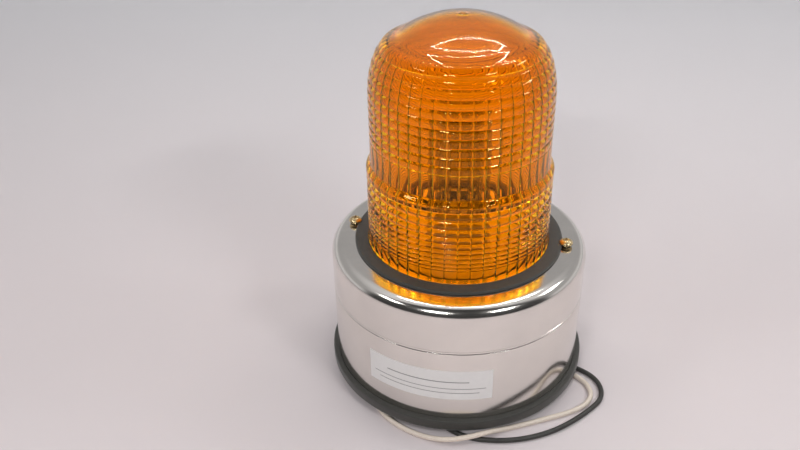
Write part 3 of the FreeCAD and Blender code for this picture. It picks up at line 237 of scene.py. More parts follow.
class Effects:
    """Builds each shared surface effect once, as a shader node group."""

    def __init__(self) -> None:
        """Build the groups."""
        self.groups = {Effect.GRAIN: self.grain(), Effect.BRUSHING: self.brushing(),
                       Effect.SPECKS: self.specks()}

    def grain(self) -> NodeTree:
        """Fine mottling between two colours."""
        tree, net, given, result = open_group(
            Effect.GRAIN.value, "Shader",
            {"Vector": "Vector", "Scale": "Float", "Dark": "Color", "Light": "Color"},
            {"Color": "Color", "Value": "Float"})
        noise = net.add("ShaderNodeTexNoise", {
            "Vector": given["Vector"], "Scale": given["Scale"], "Detail": 5.0, "Roughness": 0.6})
        share = net.spread(noise.outputs[0], 0.32, 0.68)
        net.feed(result["Color"], net.blend(share, given["Dark"], given["Light"]))
        net.feed(result["Value"], share)
        return tree

    def brushing(self) -> NodeTree:
        """Fine strokes, long where the stretch is small."""
        tree, net, given, result = open_group(
            Effect.BRUSHING.value, "Shader",
            {"Vector": "Vector", "Stretch": "Vector", "Scale": "Float"}, {"Value": "Float"})
        drawn = net.add("ShaderNodeVectorMath", {0: given["Vector"], 1: given["Stretch"]},
                        operation="MULTIPLY")
        noise = net.add("ShaderNodeTexNoise", {
            "Vector": drawn.outputs[0], "Scale": given["Scale"], "Detail": 3.0, "Roughness": 0.7})
        net.feed(result["Value"], net.spread(noise.outputs[0], 0.3, 0.7))
        return tree

    def specks(self) -> NodeTree:
        """Scattered small marks and dust, as a mask."""
        tree, net, given, result = open_group(
            Effect.SPECKS.value, "Shader",
            {"Vector": "Vector", "Scale": "Float", "Amount": "Float"}, {"Mask": "Float"})
        cells = net.add("ShaderNodeTexVoronoi", {"Vector": given["Vector"], "Scale": given["Scale"]})
        patches = net.add("ShaderNodeTexNoise", {"Vector": given["Vector"], "Scale": 90.0})
        near = net.spread(cells.outputs["Distance"], 0.05, 0.16, 1.0, 0.0)
        here = net.spread(patches.outputs[0], 0.5, 0.62)
        net.feed(result["Mask"], net.times(net.times(near, here), given["Amount"]))
        return tree

    def place(self, net: Net, effect: Effect, inputs: dict) -> Node:
        """Add one effect's group to a material's net, with its inputs fed by name."""
        return net.add("ShaderNodeGroup", inputs, node_tree=self.groups[effect])


EFFECTS = Effects()


@dataclass(frozen=True)
class Finish:
    """An opaque surface: its colours, its gloss and the grain that breaks both."""

    name: str
    light: Triple
    dark: Triple
    metallic: float = 0.0
    smooth: float = 0.4
    rough: float = 0.55
    grain: float = 600.0
    stroke: float = 300.0
    stretch: Triple = (1.0, 1.0, 1.0)
    relief: float = 0.05
    relief_depth: float = 0.00005
    speck: float = 0.15
    speck_scale: float = 900.0
    speck_colour: Triple = (0.3, 0.3, 0.3)
    coat: float = 0.0
    sheen: float = 0.0

    def colour(self, net: Net, place: Socket) -> tuple[Socket, Socket]:
        """The base colour before specks, and the value that varies with it."""
        outputs = EFFECTS.place(net, Effect.GRAIN, {
            "Vector": place, "Scale": self.grain, "Dark": opaque(self.dark),
            "Light": opaque(self.light)}).outputs
        return outputs["Color"], outputs["Value"]

    def bump(self, net: Net, height: Socket) -> Socket:
        """The relief of the surface as a normal."""
        return net.add("ShaderNodeBump", {
            "Strength": self.relief, "Distance": self.relief_depth, "Height": height}).outputs[0]

    def shade(self, net: Net, shader: Node, place: Socket) -> None:
        """Feed the shader's colour, gloss and relief.

        Args:
            net: The material's net.
            shader: The Principled shader.
            place: Object coordinates.
        """
        colour, value = self.colour(net, place)
        strokes = EFFECTS.place(net, Effect.BRUSHING, {
            "Vector": place, "Stretch": self.stretch, "Scale": self.stroke}).outputs["Value"]
        mask = EFFECTS.place(net, Effect.SPECKS, {
            "Vector": place, "Scale": self.speck_scale, "Amount": self.speck}).outputs["Mask"]
        gloss = net.math("ADD", net.times(strokes, 0.6), net.times(value, 0.4))
        net.fill(shader, {
            "Base Color": net.blend(mask, colour, opaque(self.speck_colour)),
            "Roughness": net.spread(gloss, 0.1, 0.9, self.smooth, self.rough),
            "Normal": self.bump(net, gloss), "Metallic": self.metallic, "Coat Weight": self.coat,
            "Sheen Weight": self.sheen})

    def material(self) -> Material:
        """The finish as a material, built on first use."""
        label = "finish_" + self.name
        found = bpy.data.materials.get(label)
        if found is None:
            found, net, shader = new_material(label)
            found.diffuse_color = opaque(self.light)
            self.shade(net, shader, net.add("ShaderNodeTexCoord", {}).outputs["Object"])
        return found


@dataclass(frozen=True)
class ClearFinish(Finish):
    """A clear surface: glass, or amber plastic darkened upwards by painted shade and milky at its top.
    """

    ior: float = 1.49
    gleam: Triple = (1.0, 1.0, 1.0)
    milk: float = 0.0
    milk_rise: Span = (0.0, 1.0)
    milk_coat: float = 0.45
    # Painted shade: the amber darkens upwards towards this colour, from this height on.
    amber_top_shade: Triple = (0.84, 0.36, 0.006)
    amber_shade_start: float = 0.15

    def shade(self, net: Net, shader: Node, place: Socket) -> None:
        """Feed the shader's tint and gloss, and make it clear."""
        colour, value = self.colour(net, place)
        rough = net.spread(value, 0.0, 1.0, self.smooth, self.rough)
        if self.milk > 0:
            height = net.add("ShaderNodeSeparateXYZ", {0: place}).outputs["Z"]
            mask = net.spread(height, *self.milk_rise)
            rough = net.math("ADD", rough, net.times(mask, self.milk))
            net.feed(shader.inputs["Coat Weight"], net.times(mask, self.milk_coat))
            # Painted shade: the amber darkens upwards.
            share = net.spread(height, self.amber_shade_start, self.milk_rise[1])
            colour = net.blend(share, colour, opaque(self.amber_top_shade))
        net.fill(shader, {
            "Base Color": colour, "Roughness": rough, "Normal": self.bump(net, value), "Metallic": 0.0,
            "Transmission Weight": 1.0, "IOR": self.ior, "Specular Tint": opaque(self.gleam)})


@dataclass(frozen=True)
class LabelFinish(Finish):
    """A plain printed sticker: ruled bars on white film, laid out in its own UV map."""

    ink: Triple = (0.22, 0.21, 0.21)
    bars: tuple[tuple[Span, Span], ...] = (
        ((0.17, 0.82), (0.60, 0.63)), ((0.05, 0.95), (0.37, 0.39)), ((0.10, 0.90), (0.22, 0.24)))

    def colour(self, net: Net, place: Socket) -> tuple[Socket, Socket]:
        """White film with its ruled bars."""
        film, value = super().colour(net, place)
        spot = net.add("ShaderNodeSeparateXYZ", {0: net.add("ShaderNodeUVMap", {}).outputs[0]}).outputs
        printed = None
        for across, up in self.bars:
            level = self.between(net, spot["Y"], *up)
            inside = net.times(self.between(net, spot["X"], *across), level)
            printed = inside if printed is None else net.math("MAXIMUM", printed, inside)
        return net.blend(printed, film, opaque(self.ink)), value

    def between(self, net: Net, value: Socket, low: float, high: float) -> Socket:
        """One where a value lies between two others, and nothing elsewhere."""
        return net.times(net.math("GREATER_THAN", value, low), net.math("LESS_THAN", value, high))


@dataclass(frozen=True)
class BoardFinish(Finish):
    """A varnished circuit board with its copper tracks under the green."""

    track: Triple = (0.06, 0.24, 0.1)
    track_scale: float = 130.0

    def colour(self, net: Net, place: Socket) -> tuple[Socket, Socket]:
        """Green varnish, paler where a track runs under it."""
        base, value = super().colour(net, place)
        cells = net.add("ShaderNodeTexVoronoi", {"Vector": place, "Scale": self.track_scale},
                        feature="DISTANCE_TO_EDGE", distance="EUCLIDEAN")
        edge = net.spread(cells.outputs["Distance"], 0.06, 0.09, 1.0, 0.0)
        return net.blend(edge, base, opaque(self.track)), value


POLISHED = Finish(
    "polished_aluminium", (0.81, 0.775, 0.73), (0.75, 0.72, 0.68), metallic=1.0, smooth=0.10,
    rough=0.19, grain=40.0, stroke=260.0, stretch=(0.05, 0.05, 6.0), relief_depth=0.00002, speck=0.12,
    speck_scale=1100.0, speck_colour=(0.55, 0.53, 0.5))
SPUN = Finish(
    "spun_reflector", (0.90, 0.90, 0.88), (0.85, 0.85, 0.83), metallic=1.0, smooth=0.38, grain=60.0,
    stroke=400.0, stretch=(1.0, 1.0, 4.0), relief_depth=0.00002)
PLATED = Finish(
    "zinc_plate", (0.58, 0.57, 0.53), (0.42, 0.42, 0.40), metallic=1.0, smooth=0.28, rough=0.5,
    grain=500.0, relief=0.1)
# The chassis is darker than the other metal, which makes the inside of the lens look dark.
CHASSIS = Finish(
    "dark_chassis_metal", (0.40, 0.40, 0.38), (0.32, 0.32, 0.3), metallic=1.0, smooth=0.3, rough=0.45,
    grain=200.0, stroke=500.0, stretch=(0.05, 3.0, 1.0))
BRASS = Finish(
    "yellow_zinc", (0.80, 0.62, 0.34), (0.62, 0.50, 0.30), metallic=1.0, smooth=0.2, rough=0.4,
    grain=900.0, relief=0.1)
TIN = Finish(
    "bright_tin", (0.75, 0.75, 0.72), (0.62, 0.62, 0.6), metallic=1.0, smooth=0.2, rough=0.35)
NICKEL = Finish(
    "nickel_wire", (0.68, 0.66, 0.62), (0.55, 0.53, 0.5), metallic=1.0, smooth=0.2, rough=0.35)
COPPER = Finish(
    "bare_copper", (0.78, 0.42, 0.26), (0.62, 0.30, 0.17), metallic=1.0, smooth=0.25, rough=0.42,
    grain=700.0)
ENAMEL = Finish(
    "enamelled_copper", (0.56, 0.23, 0.09), (0.40, 0.14, 0.05), metallic=0.6, smooth=0.2, rough=0.35,
    grain=500.0, coat=0.4)
RUBBER = Finish(
    "black_rubber", (0.052, 0.05, 0.043), (0.034, 0.033, 0.029), smooth=0.5, rough=0.68, grain=900.0,
    relief=0.12, relief_depth=0.00008, speck=0.25, speck_colour=(0.13, 0.13, 0.12), sheen=0.25)
BLACK_MOULDING = Finish(
    "black_moulding", (0.028, 0.028, 0.028), (0.018, 0.018, 0.018), smooth=0.35, rough=0.5, relief=0.1)
WHITE_SHEATH = Finish(
    "white_sheath", (0.86, 0.76, 0.66), (0.80, 0.69, 0.59), smooth=0.32, rough=0.45, grain=500.0,
    relief=0.06, speck=0.2, speck_colour=(0.5, 0.42, 0.36))
BLACK_SHEATH = Finish(
    "black_sheath", (0.05, 0.048, 0.043), (0.032, 0.031, 0.028), smooth=0.35, rough=0.5, relief=0.06)
RED_SHEATH = Finish("red_sheath", (0.45, 0.05, 0.03), (0.36, 0.035, 0.02), smooth=0.35, rough=0.5)
BLUE_SLEEVE = Finish(
    "blue_sleeve", (0.05, 0.10, 0.28), (0.035, 0.075, 0.22), smooth=0.25, rough=0.4, relief=0.08)
RED_CASE = Finish("red_case", (0.50, 0.09, 0.05), (0.42, 0.07, 0.04), smooth=0.3, rough=0.45)
CERAMIC = Finish(
    "white_ceramic", (0.88, 0.86, 0.80), (0.80, 0.78, 0.72), smooth=0.6, rough=0.8, grain=400.0,
    relief=0.25)
LAMINATION = Finish(
    "core_steel", (0.22, 0.22, 0.23), (0.12, 0.12, 0.13), metallic=0.8, rough=0.6, stroke=700.0,
    stretch=(0.05, 4.0, 0.05), relief=0.3)
GREEN_CASE = Finish("green_terminal", (0.05, 0.22, 0.10), (0.04, 0.17, 0.08), smooth=0.35, rough=0.5)
BOARD = BoardFinish(
    "power_board", (0.035, 0.15, 0.06), (0.028, 0.12, 0.05), smooth=0.25, rough=0.4, coat=0.3)
AMBER = ClearFinish(
    "amber_lens", (0.96, 0.49, 0.010), (0.95, 0.47, 0.008), smooth=0.0, rough=0.008, grain=120.0,
    relief=0.03, relief_depth=0.0001, gleam=(1.0, 0.62, 0.25), milk=0.11, milk_rise=(0.223, 0.227))
GLASS = ClearFinish(
    "clear_glass", (0.93, 0.96, 0.96), (0.91, 0.94, 0.94), smooth=0.0, rough=0.03, grain=100.0,
    relief=0.02, ior=1.47)
SMOKED_GLASS = ClearFinish(
    "smoked_glass", (0.72, 0.73, 0.70), (0.68, 0.69, 0.66), smooth=0.0, rough=0.03, grain=100.0,
    relief=0.02, ior=1.47, gleam=(0.5, 0.5, 0.5))
LABEL = LabelFinish(
    "label_film", (0.88, 0.865, 0.85), (0.85, 0.835, 0.82), smooth=0.35, rough=0.5, grain=300.0)


# ---- meshes

Row = tuple[str, Finish, float]
LABELS = ("reach", "height", "fluted", "turn")
WIRE_SIDES = 8
SPIRAL_STEPS = 24
CORNER_STEPS = 5


@dataclass(frozen=True)
class Corner:
    """A corner of a turned piece's half section, with its rounding and its share of the flutes."""

    radius: float
    height: float
    fillet: float = 0.0
    fluted: float = 0.0

    def spot(self) -> Vector:
        """The corner as a point of its section."""
        return Vector((self.radius, self.height))


def soften(rows: Sequence[tuple[float, ...]], steps: int) -> list[Corner]:
    """Replace each rounded corner of a closed section by a short arc.

    Args:
        rows: The half section's corners in order, as radius, height and any rounding.
        steps: Stretches in each arc.

    Returns:
        The corners with their arcs.
    """
    corners, softened = [Corner(*row) for row in rows], []
    for index, corner in enumerate(corners):
        if corner.fillet <= 0:
            softened.append(corner)
            continue
        here = corner.spot()
        back = (corners[index - 1].spot() - here).normalized()
        ahead = (corners[(index + 1) % len(corners)].spot() - here).normalized()
        half = back.angle(ahead) / 2
        setback = corner.fillet / math.tan(half)
        centre = here + (back + ahead).normalized() * (corner.fillet / math.sin(half))
        start = here + back * setback - centre
        turn = start.angle_signed(here + ahead * setback - centre)
        for step in range(steps + 1):
            spot = centre + Matrix.Rotation(-turn * step / steps, 2) @ start
            softened.append(Corner(spot.x, spot.y))
    return softened


def plain_mesh(obj: Object) -> None:
    """Turn an object with live modifiers into the plain mesh that they give."""
    bpy.context.view_layer.update()
    evaluated = obj.evaluated_get(bpy.context.evaluated_depsgraph_get())
    mesh = bpy.data.meshes.new_from_object(evaluated)
    old = obj.data
    obj.modifiers.clear()
    obj.data = mesh
    bpy.data.meshes.remove(old)
    mesh.name = obj.name


def written(work: bmesh.types.BMesh, mesh: Mesh) -> Mesh:
    """Write a working mesh into a mesh and free it.

    Args:
        work: The working mesh.
        mesh: The mesh that takes its shape.

    Returns:
        The mesh.
    """
    work.to_mesh(mesh)
    work.free()
    return mesh


def tidy_mesh(mesh: Mesh, outward: bool = True) -> None:
    """Weld a mesh, point its faces outwards and smooth it except at sharp edges.

    Args:
        mesh: The mesh.
        outward: Whether the faces' directions are worked out again.
    """
    work = bmesh.new()
    work.from_mesh(mesh)
    bmesh.ops.remove_doubles(work, verts=work.verts, dist=WELD)
    bmesh.ops.dissolve_degenerate(work, edges=work.edges, dist=WELD)
    if outward:
        bmesh.ops.recalc_face_normals(work, faces=work.faces)
    for face in work.faces:
        face.smooth = True
    written(work, mesh).set_sharp_from_angle(angle=math.radians(SHARP))


def new_object(name: str, data: ID) -> Object:
    """Link a new object into the scene."""
    obj = bpy.data.objects.new(name, data)
    bpy.context.scene.collection.objects.link(obj)
    return obj


def wear(obj: Object, finish: Finish) -> Object:
    """Give an object one finish."""
    obj.data.materials.clear()
    obj.data.materials.append(finish.material())
    return obj


def stand_in(obj: Object, node: str) -> None:
    """Let a piece stand for a CAD node, on its body.

    Args:
        obj: The finished piece.
        node: The node that it stands for.
    """
    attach(obj, frame["nodes"][node]["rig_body"])
    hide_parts(node)
    log.info("%s stands for %s", obj.name, node)


class Tree(Enum):
    """The geometry trees that repeat or turn a shape."""

    TURNED = "turned_piece"
    STRANDS = "stranded_end"
    WINDING = "wound_turns"


class Trees:
    """Builds each geometry tree once."""

    def __init__(self) -> None:
        """Build the trees."""
        self.groups = {Tree.TURNED: self.turned(), Tree.STRANDS: self.strands(),
                       Tree.WINDING: self.winding()}

    def open(self, tree: Tree, **inputs: str) -> tuple:
        """Start a tree that takes geometry, a material and more inputs by their kinds of socket."""
        named = {label.replace("_", " "): kind for label, kind in inputs.items()}
        given = {"Geometry": "Geometry", **named, "Material": "Material"}
        return open_group(tree.value, "Geometry", given, {"Geometry": "Geometry"})

    def close(self, net: Net, geometry: Socket, material: Socket, leave: dict) -> None:
        """End a tree: real geometry in its material.

        Args:
            net: The tree's net.
            geometry: What the tree has made.
            material: The material.
            leave: The tree's outputs.
        """
        real = net.geo("RealizeInstances", {"Geometry": geometry})
        dressed = net.geo("SetMaterial", {"Geometry": real, "Material": material})
        net.feed(leave["Geometry"], dressed)

    def wire(self, net: Net, curves: Socket, radius: Socket, given: dict, leave: dict,
             caps: bool) -> None:
        """End a tree with round wire along its curves.

        Args:
            net: The tree's net.
            curves: The curves.
            radius: The wire's radius.
            given: The tree's inputs.
            leave: The tree's outputs.
            caps: Whether the wires' ends are closed.
        """
        ring = net.geo("CurvePrimitiveCircle", {"Resolution": WIRE_SIDES, "Radius": radius})
        wires = net.geo("CurveToMesh", {"Curve": curves, "Profile Curve": ring, "Fill Caps": caps})
        self.close(net, wires, given["Material"], leave)

    def turned(self) -> NodeTree:
        """Turn a half section about Z, its marked points drawn in to upright flutes."""
        tree, net, given, leave = self.open(
            Tree.TURNED, Sides="Int", Flutes="Int", Flute_Depth="Float", Flatness="Float")
        section = net.geo("MeshToCurve", {"Mesh": given["Geometry"]})
        circle = net.geo("CurvePrimitiveCircle", {"Resolution": given["Sides"], "Radius": 1.0})
        share = net.math("DIVIDE", net.geo("InputIndex", {}), given["Sides"])
        marked = net.geo("StoreNamedAttribute", {"Geometry": circle, "Name": "turn", "Value": share},
                         data_type="FLOAT", domain="POINT")
        swept = net.geo("CurveToMesh", {"Curve": marked, "Profile Curve": section})
        reach, height, fluted, turn = [
            net.geo("InputNamedAttribute", {"Name": label}, data_type="FLOAT") for label in LABELS]
        along = net.times(turn, given["Flutes"])
        across = net.math("FRACT", along)
        centred = net.math("SUBTRACT", net.times(across, 2.0), 1.0)
        crowded = net.math("SINE", net.times(centred, math.pi / 2))
        bow = net.math("POWER", net.math("ABSOLUTE", crowded), given["Flatness"])
        radius = net.math("SUBTRACT", reach, net.times(net.times(bow, given["Flute Depth"]), fluted))
        moved = net.times(net.math("ADD", crowded, 1.0), 0.5)
        cell = net.math("ADD", net.math("SUBTRACT", along, across), moved)
        angle = net.times(net.math("DIVIDE", cell, given["Flutes"]), math.tau)
        spot = net.vector(X=net.times(radius, net.math("COSINE", angle)),
                          Y=net.times(radius, net.math("SINE", angle)), Z=height)
        placed = net.geo("SetPosition", {"Geometry": swept, "Position": spot})
        self.close(net, placed, given["Material"], leave)
        return tree

    def strands(self) -> NodeTree:
        """Twist equal strands round a straight one, along Z."""
        tree, net, given, leave = self.open(
            Tree.STRANDS, Count="Int", Length="Float", Lay_Radius="Float", Strand_Radius="Float",
            Turns="Float")
        spiral = net.geo("CurveSpiral", {
            "Resolution": SPIRAL_STEPS, "Rotations": given["Turns"], "Height": given["Length"],
            "Start Radius": given["Lay Radius"], "End Radius": given["Lay Radius"]})
        points = net.geo("Points", {"Count": given["Count"]})
        share = net.math("DIVIDE", net.geo("InputIndex", {}), given["Count"])
        turn = net.vector(Z=net.times(share, math.tau))
        copies = net.geo("InstanceOnPoints", {"Points": points, "Instance": spiral, "Rotation": turn})
        middle = net.geo("CurvePrimitiveLine", {"End": net.vector(Z=given["Length"])})
        both = net.add("GeometryNodeJoinGeometry", {})
        real = net.geo("RealizeInstances", {"Geometry": copies})
        for part in (real, middle):
            net.feed(both.inputs[0], part)
        self.wire(net, both.outputs[0], given["Strand Radius"], given, leave, caps=True)
        return tree

    def winding(self) -> NodeTree:
        """Stack rounded rectangular turns of wire along Z."""
        tree, net, given, leave = self.open(
            Tree.WINDING, Turns="Int", Length="Float", Width="Float", Height="Float",
            Wire_Radius="Float", Corner_Radius="Float")
        thick = net.times(given["Wire Radius"], 2.0)
        loop = net.geo("CurvePrimitiveQuadrilateral", {
            "Width": net.math("SUBTRACT", given["Length"], thick),
            "Height": net.math("SUBTRACT", given["Width"], thick)})
        eased = net.geo("FilletCurve", {
            "Curve": loop, "Count": CORNER_STEPS, "Radius": given["Corner Radius"],
            "Limit Radius": True}, mode="POLY")
        points = net.geo("Points", {"Count": given["Turns"]})
        last = net.math("SUBTRACT", given["Turns"], 1.0)
        share = net.math("DIVIDE", net.geo("InputIndex", {}), last)
        lift = net.times(share, net.math("SUBTRACT", given["Height"], thick))
        spot = net.vector(Z=net.math("ADD", lift, given["Wire Radius"]))
        placed = net.geo("SetPosition", {"Geometry": points, "Position": spot})
        copies = net.geo("InstanceOnPoints", {"Points": placed, "Instance": eased})
        real = net.geo("RealizeInstances", {"Geometry": copies})
        self.wire(net, real, given["Wire Radius"], given, leave, caps=False)
        return tree

    def grow(self, name: str, tree: Tree, start: Mesh, finish: Finish, inputs: dict) -> Object:
        """Make a plain mesh with one of the trees.

        Args:
            name: The piece's name.
            tree: Which tree.
            start: The mesh that goes in.
            finish: The piece's finish.
            inputs: Values by input name.

        Returns:
            The piece, with no modifier left on it.
        """
        obj = new_object(name, start)
        modifier = obj.modifiers.new("grow", "NODES")
        modifier.node_group = self.groups[tree]
        given = {**inputs, "Material": finish.material()}
        for item in modifier.node_group.interface.items_tree:
            if item.in_out == "INPUT" and item.name in given:
                modifier[item.identifier] = given[item.name]
        plain_mesh(obj)
        for label in LABELS:
            found = obj.data.attributes.get(label)
            if found is not None:
                obj.data.attributes.remove(found)
        tidy_mesh(obj.data)
        return wear(obj, finish)


TREES = Trees()


def turned(name: str, node: str, corners: Sequence[Corner], finish: Finish, closed: bool = True,
           sides: int = 256, flutes: int = 32, flute_depth: float = 0.0,
           flatness: float = 2.0) -> None:
    """Make a turned piece from its half section, to stand for a CAD node.

    Args:
        name: The piece's name.
        node: The CAD node.
        corners: The half section, in order; one that isn't closed starts and ends on the axis.
        finish: Its finish.
        closed: Whether the section is a closed loop.
        sides: Faces round the axis.
        flutes: Upright flutes on the corners marked for them; sides is a multiple of their number.
        flute_depth: Depth of the flutes.
        flatness: How flat the flutes are between their ridges, from 2 for an even bow.
    """
    section = bpy.data.meshes.new(name + "_section")
    edges = [(index, index + 1) for index in range(len(corners) - 1)]
    if closed:
        edges.append((len(corners) - 1, 0))
    section.from_pydata([(c.radius, 0.0, c.height) for c in corners], edges, [])
    for label, values in zip(LABELS, zip(*((c.radius, c.height, c.fluted) for c in corners))):
        section.attributes.new(label, "FLOAT", "POINT").data.foreach_set("value", values)
    stand_in(TREES.grow(name, Tree.TURNED, section, finish, {
        "Sides": sides, "Flutes": flutes, "Flute Depth": flute_depth, "Flatness": flatness}), node)


def refine(rows: Sequence[Row]) -> None:
    """Let welded and smoothed copies of CAD nodes stand for them, with their edges eased.

    Args:
        rows: The node, its finish and the width of its eased edges in mm, or 0 for none.
    """
    for node, finish, bevel in rows:
        mesh = frame["nodes"][node].data.copy()
        work = bmesh.new()
        work.from_mesh(mesh)
        bmesh.ops.remove_doubles(work, verts=work.verts, dist=WELD)
        bmesh.ops.dissolve_limit(work, angle_limit=math.radians(FLAT), verts=work.verts,
                                 edges=work.edges)
        obj = new_object(node + "_dressed", written(work, mesh))
        if bevel > 0:
            ease = obj.modifiers.new("ease", "BEVEL")
            ease.width = bevel * MM
            ease.segments = 2
            ease.limit_method = "ANGLE"
            ease.angle_limit = math.radians(EASED)
            plain_mesh(obj)
        tidy_mesh(obj.data, outward=False)
        stand_in(wear(obj, finish), node)


# ---- studio


def heading(turn: float, dip: float) -> Vector:
    """The way that something looks when it is turned from +Y and tipped down, in radians."""
    return Vector((math.sin(turn) * math.cos(dip), math.cos(turn) * math.cos(dip), -math.sin(dip)))


@dataclass
class Camera:
    """The photograph's viewpoint."""

    height: float = 0.371469
    back: float = 0.437504
    yaw: float = -0.0848203
    pitch: float = 0.5537235
    roll: float = -0.0219243
    focal_pixels: float = 804.907
    image_width: float = 800.0
    sensor: float = 36.0
    clip: Span = (0.01, 50.0)

    def build(self) -> None:
        """Make the camera and use it."""
        data = bpy.data.cameras.new("photo_camera")
        data.sensor_width = self.sensor
        data.lens = self.focal_pixels / self.image_width * self.sensor
        data.clip_start, data.clip_end = self.clip
        ahead = heading(self.yaw, self.pitch)
        level = Vector((math.cos(self.yaw), -math.sin(self.yaw), 0.0))
        upright = level.cross(ahead)
        right = level * math.cos(self.roll) + upright * math.sin(self.roll)
        above = upright * math.cos(self.roll) - level * math.sin(self.roll)
        turned_to = Matrix((right, above, -ahead)).transposed().to_4x4()
        camera = new_object("photo_camera", data)
        camera.matrix_world = Matrix.Translation((0.0, -self.back, self.height)) @ turned_to
        bpy.context.scene.camera = camera


@dataclass(frozen=True)
class Softbox:
    """One soft lamp of the light tent, placed by its bearing from the front."""

    name: str
    bearing: float
    elevation: float
    width: float
    height: float
    power: float
    distance: float = 1.1

    def build(self) -> None:
        """Hang the lamp and aim it at the light."""
        data = bpy.data.lights.new(self.name, "AREA")
        data.shape = "RECTANGLE"
        data.size, data.size_y, data.energy = self.width, self.height, self.power
        obj = new_object(self.name, data)
        aim = heading(-math.radians(self.bearing), math.radians(self.elevation))
        obj.location = Vector((0.0, 0.0, CAD_BOX[1].z / 2)) - aim * self.distance
        obj.rotation_mode = "QUATERNION"
        obj.rotation_quaternion = aim.to_track_quat("-Z", "Y")


@dataclass
class Studio:
    """The floor, the tent's light and the lamps."""

    floor_radius: float = 7.0
    floor_sides: int = 96
    floor_roughness: float = 0.7
    # Painted shade and light: the floor's colour runs from darker near the light to lighter far behind
    # it.
    floor_shade_near: Colour = tone(223, 214, 216)
    floor_light_far: Colour = tone(252, 250, 254)
    floor_shade_fade: Span = (0.05, 0.8)
    # Painted light: the floor glows with this strength where it is seen through glass.
    floor_glow_in_glass: float = 0.25
    backdrop: Colour = tone(210, 208, 212)
    tent_white: Triple = (1.0, 0.985, 0.99)
    low_light: float = 0.62
    low_fade: Span = (0.2, 0.5)
    wall_light: float = 0.385
    roof_light: float = 0.75
    roof_rise: Span = (0.6, 0.93)
    opening_light: float = 0.05
    opening_edge: Span = (0.08, 0.26)
    seen_through: float = 1.5
    lamps: tuple[Softbox, ...] = (
        Softbox("lamp_front_left", -17.0, 36.0, 0.26, 0.035, 2.8),
        Softbox("lamp_front_right", 42.0, 36.0, 0.26, 0.035, 2.8),
        Softbox("lamp_left", -64.0, 40.0, 0.30, 0.07, 1.2),
        Softbox("lamp_right", 100.0, 40.0, 0.30, 0.07, 1.2))
    bead_size: float = 0.005
    bead_step: float = 0.0125
    bead_light: float = 110.0
    bead_white: Triple = (1.0, 0.98, 0.94)
    bead_height: float = 0.74
    bead_corners: tuple[Span, ...] = (
        (-0.234, 0.170), (0.335, 0.290), (0.285, 0.150), (0.090, 0.045), (-0.100, 0.060))

    def build(self) -> None:
        """Make the studio."""
        bpy.context.scene.view_settings.view_transform = "Standard"
        self.floor()
        self.tent()
        for lamp in self.lamps:
            lamp.build()
        self.beads()

    def floor(self) -> None:
        """A pale floor with painted shade, darker near the light and lighter far behind it, and a
        painted glow where it is seen through glass.
        """
        work = bmesh.new()
        bmesh.ops.create_circle(work, cap_ends=True, segments=self.floor_sides,
                                radius=self.floor_radius)
        mesh = written(work, bpy.data.meshes.new("studio_floor"))
        material, net, shader = new_material("studio_floor")
        place = net.add("ShaderNodeTexCoord", {}).outputs["Object"]
        depth = net.add("ShaderNodeSeparateXYZ", {0: place}).outputs["Y"]
        # Painted shade and light: darker near the light, lighter far behind it.
        share = net.spread(depth, *self.floor_shade_fade)
        # Painted light: the floor glows where it is seen through glass.
        through = net.add("ShaderNodeLightPath", {}).outputs["Is Transmission Ray"]
        net.fill(shader, {
            "Base Color": net.blend(share, self.floor_shade_near, self.floor_light_far),
            "Roughness": self.floor_roughness, "Emission Color": opaque(self.tent_white),
            "Emission Strength": net.times(through, self.floor_glow_in_glass)})
        mesh.materials.append(material)
        new_object("studio_floor", mesh)

    def tent(self) -> None:
        """The tent's walls, its bright roof and its dark opening, as the world."""
        world = bpy.data.worlds.new("light_tent")
        bpy.context.scene.world = world
        world.use_nodes = True
        net = Net(world.node_tree)
        place = net.add("ShaderNodeTexCoord", {}).outputs["Generated"]
        way = net.add("ShaderNodeSeparateXYZ", {0: place}).outputs
        high = net.spread(way["Z"], *self.roof_rise, self.wall_light, self.roof_light)
        low = net.spread(way["Z"], *self.low_fade, self.low_light, 0.0)
        dark = net.spread(net.times(way["Y"], -1.0), *self.opening_edge)
        tent = net.mix(dark, net.math("MAXIMUM", high, low), self.opening_light)
        path = net.add("ShaderNodeLightPath", {}).outputs
        strength = net.mix(path["Is Transmission Ray"], tent, self.seen_through)
        seen = path["Is Camera Ray"]
        net.fill(world.node_tree.nodes["Background"], {
            "Color": net.blend(seen, opaque(self.tent_white), self.backdrop),
            "Strength": net.mix(seen, strength, 1.0)})

    def beads(self) -> None:
        """The tent's oblong string of small bright beads, over and behind the light."""
        material, net, shader = new_material("lamp_beads")
        net.fill(shader, {
            "Emission Color": opaque(self.bead_white), "Emission Strength": self.bead_light})
        work = bmesh.new()
        corners = [Vector((x, y, self.bead_height)) for x, y in self.bead_corners]
        for start, end in zip(corners, corners[1:] + corners[:1]):
            count = round((end - start).length / self.bead_step)
            for index in range(count):
                spot = Matrix.Translation(start.lerp(end, index / count))
                bmesh.ops.create_cube(work, size=self.bead_size, matrix=spot)
        mesh = written(work, bpy.data.meshes.new("lamp_beads"))
        mesh.materials.append(material)
        new_object("lamp_beads", mesh)


# ---- supply leads


@dataclass(frozen=True)
class LeadRoute:
    """One supply lead: its colour, its length and the listed points that it follows, in mm.

    A point of two numbers lies on the floor, at the height of the lead's radius.
    """

    node: str
    finish: Finish
    length: float
    points: tuple[tuple[float, ...], ...]


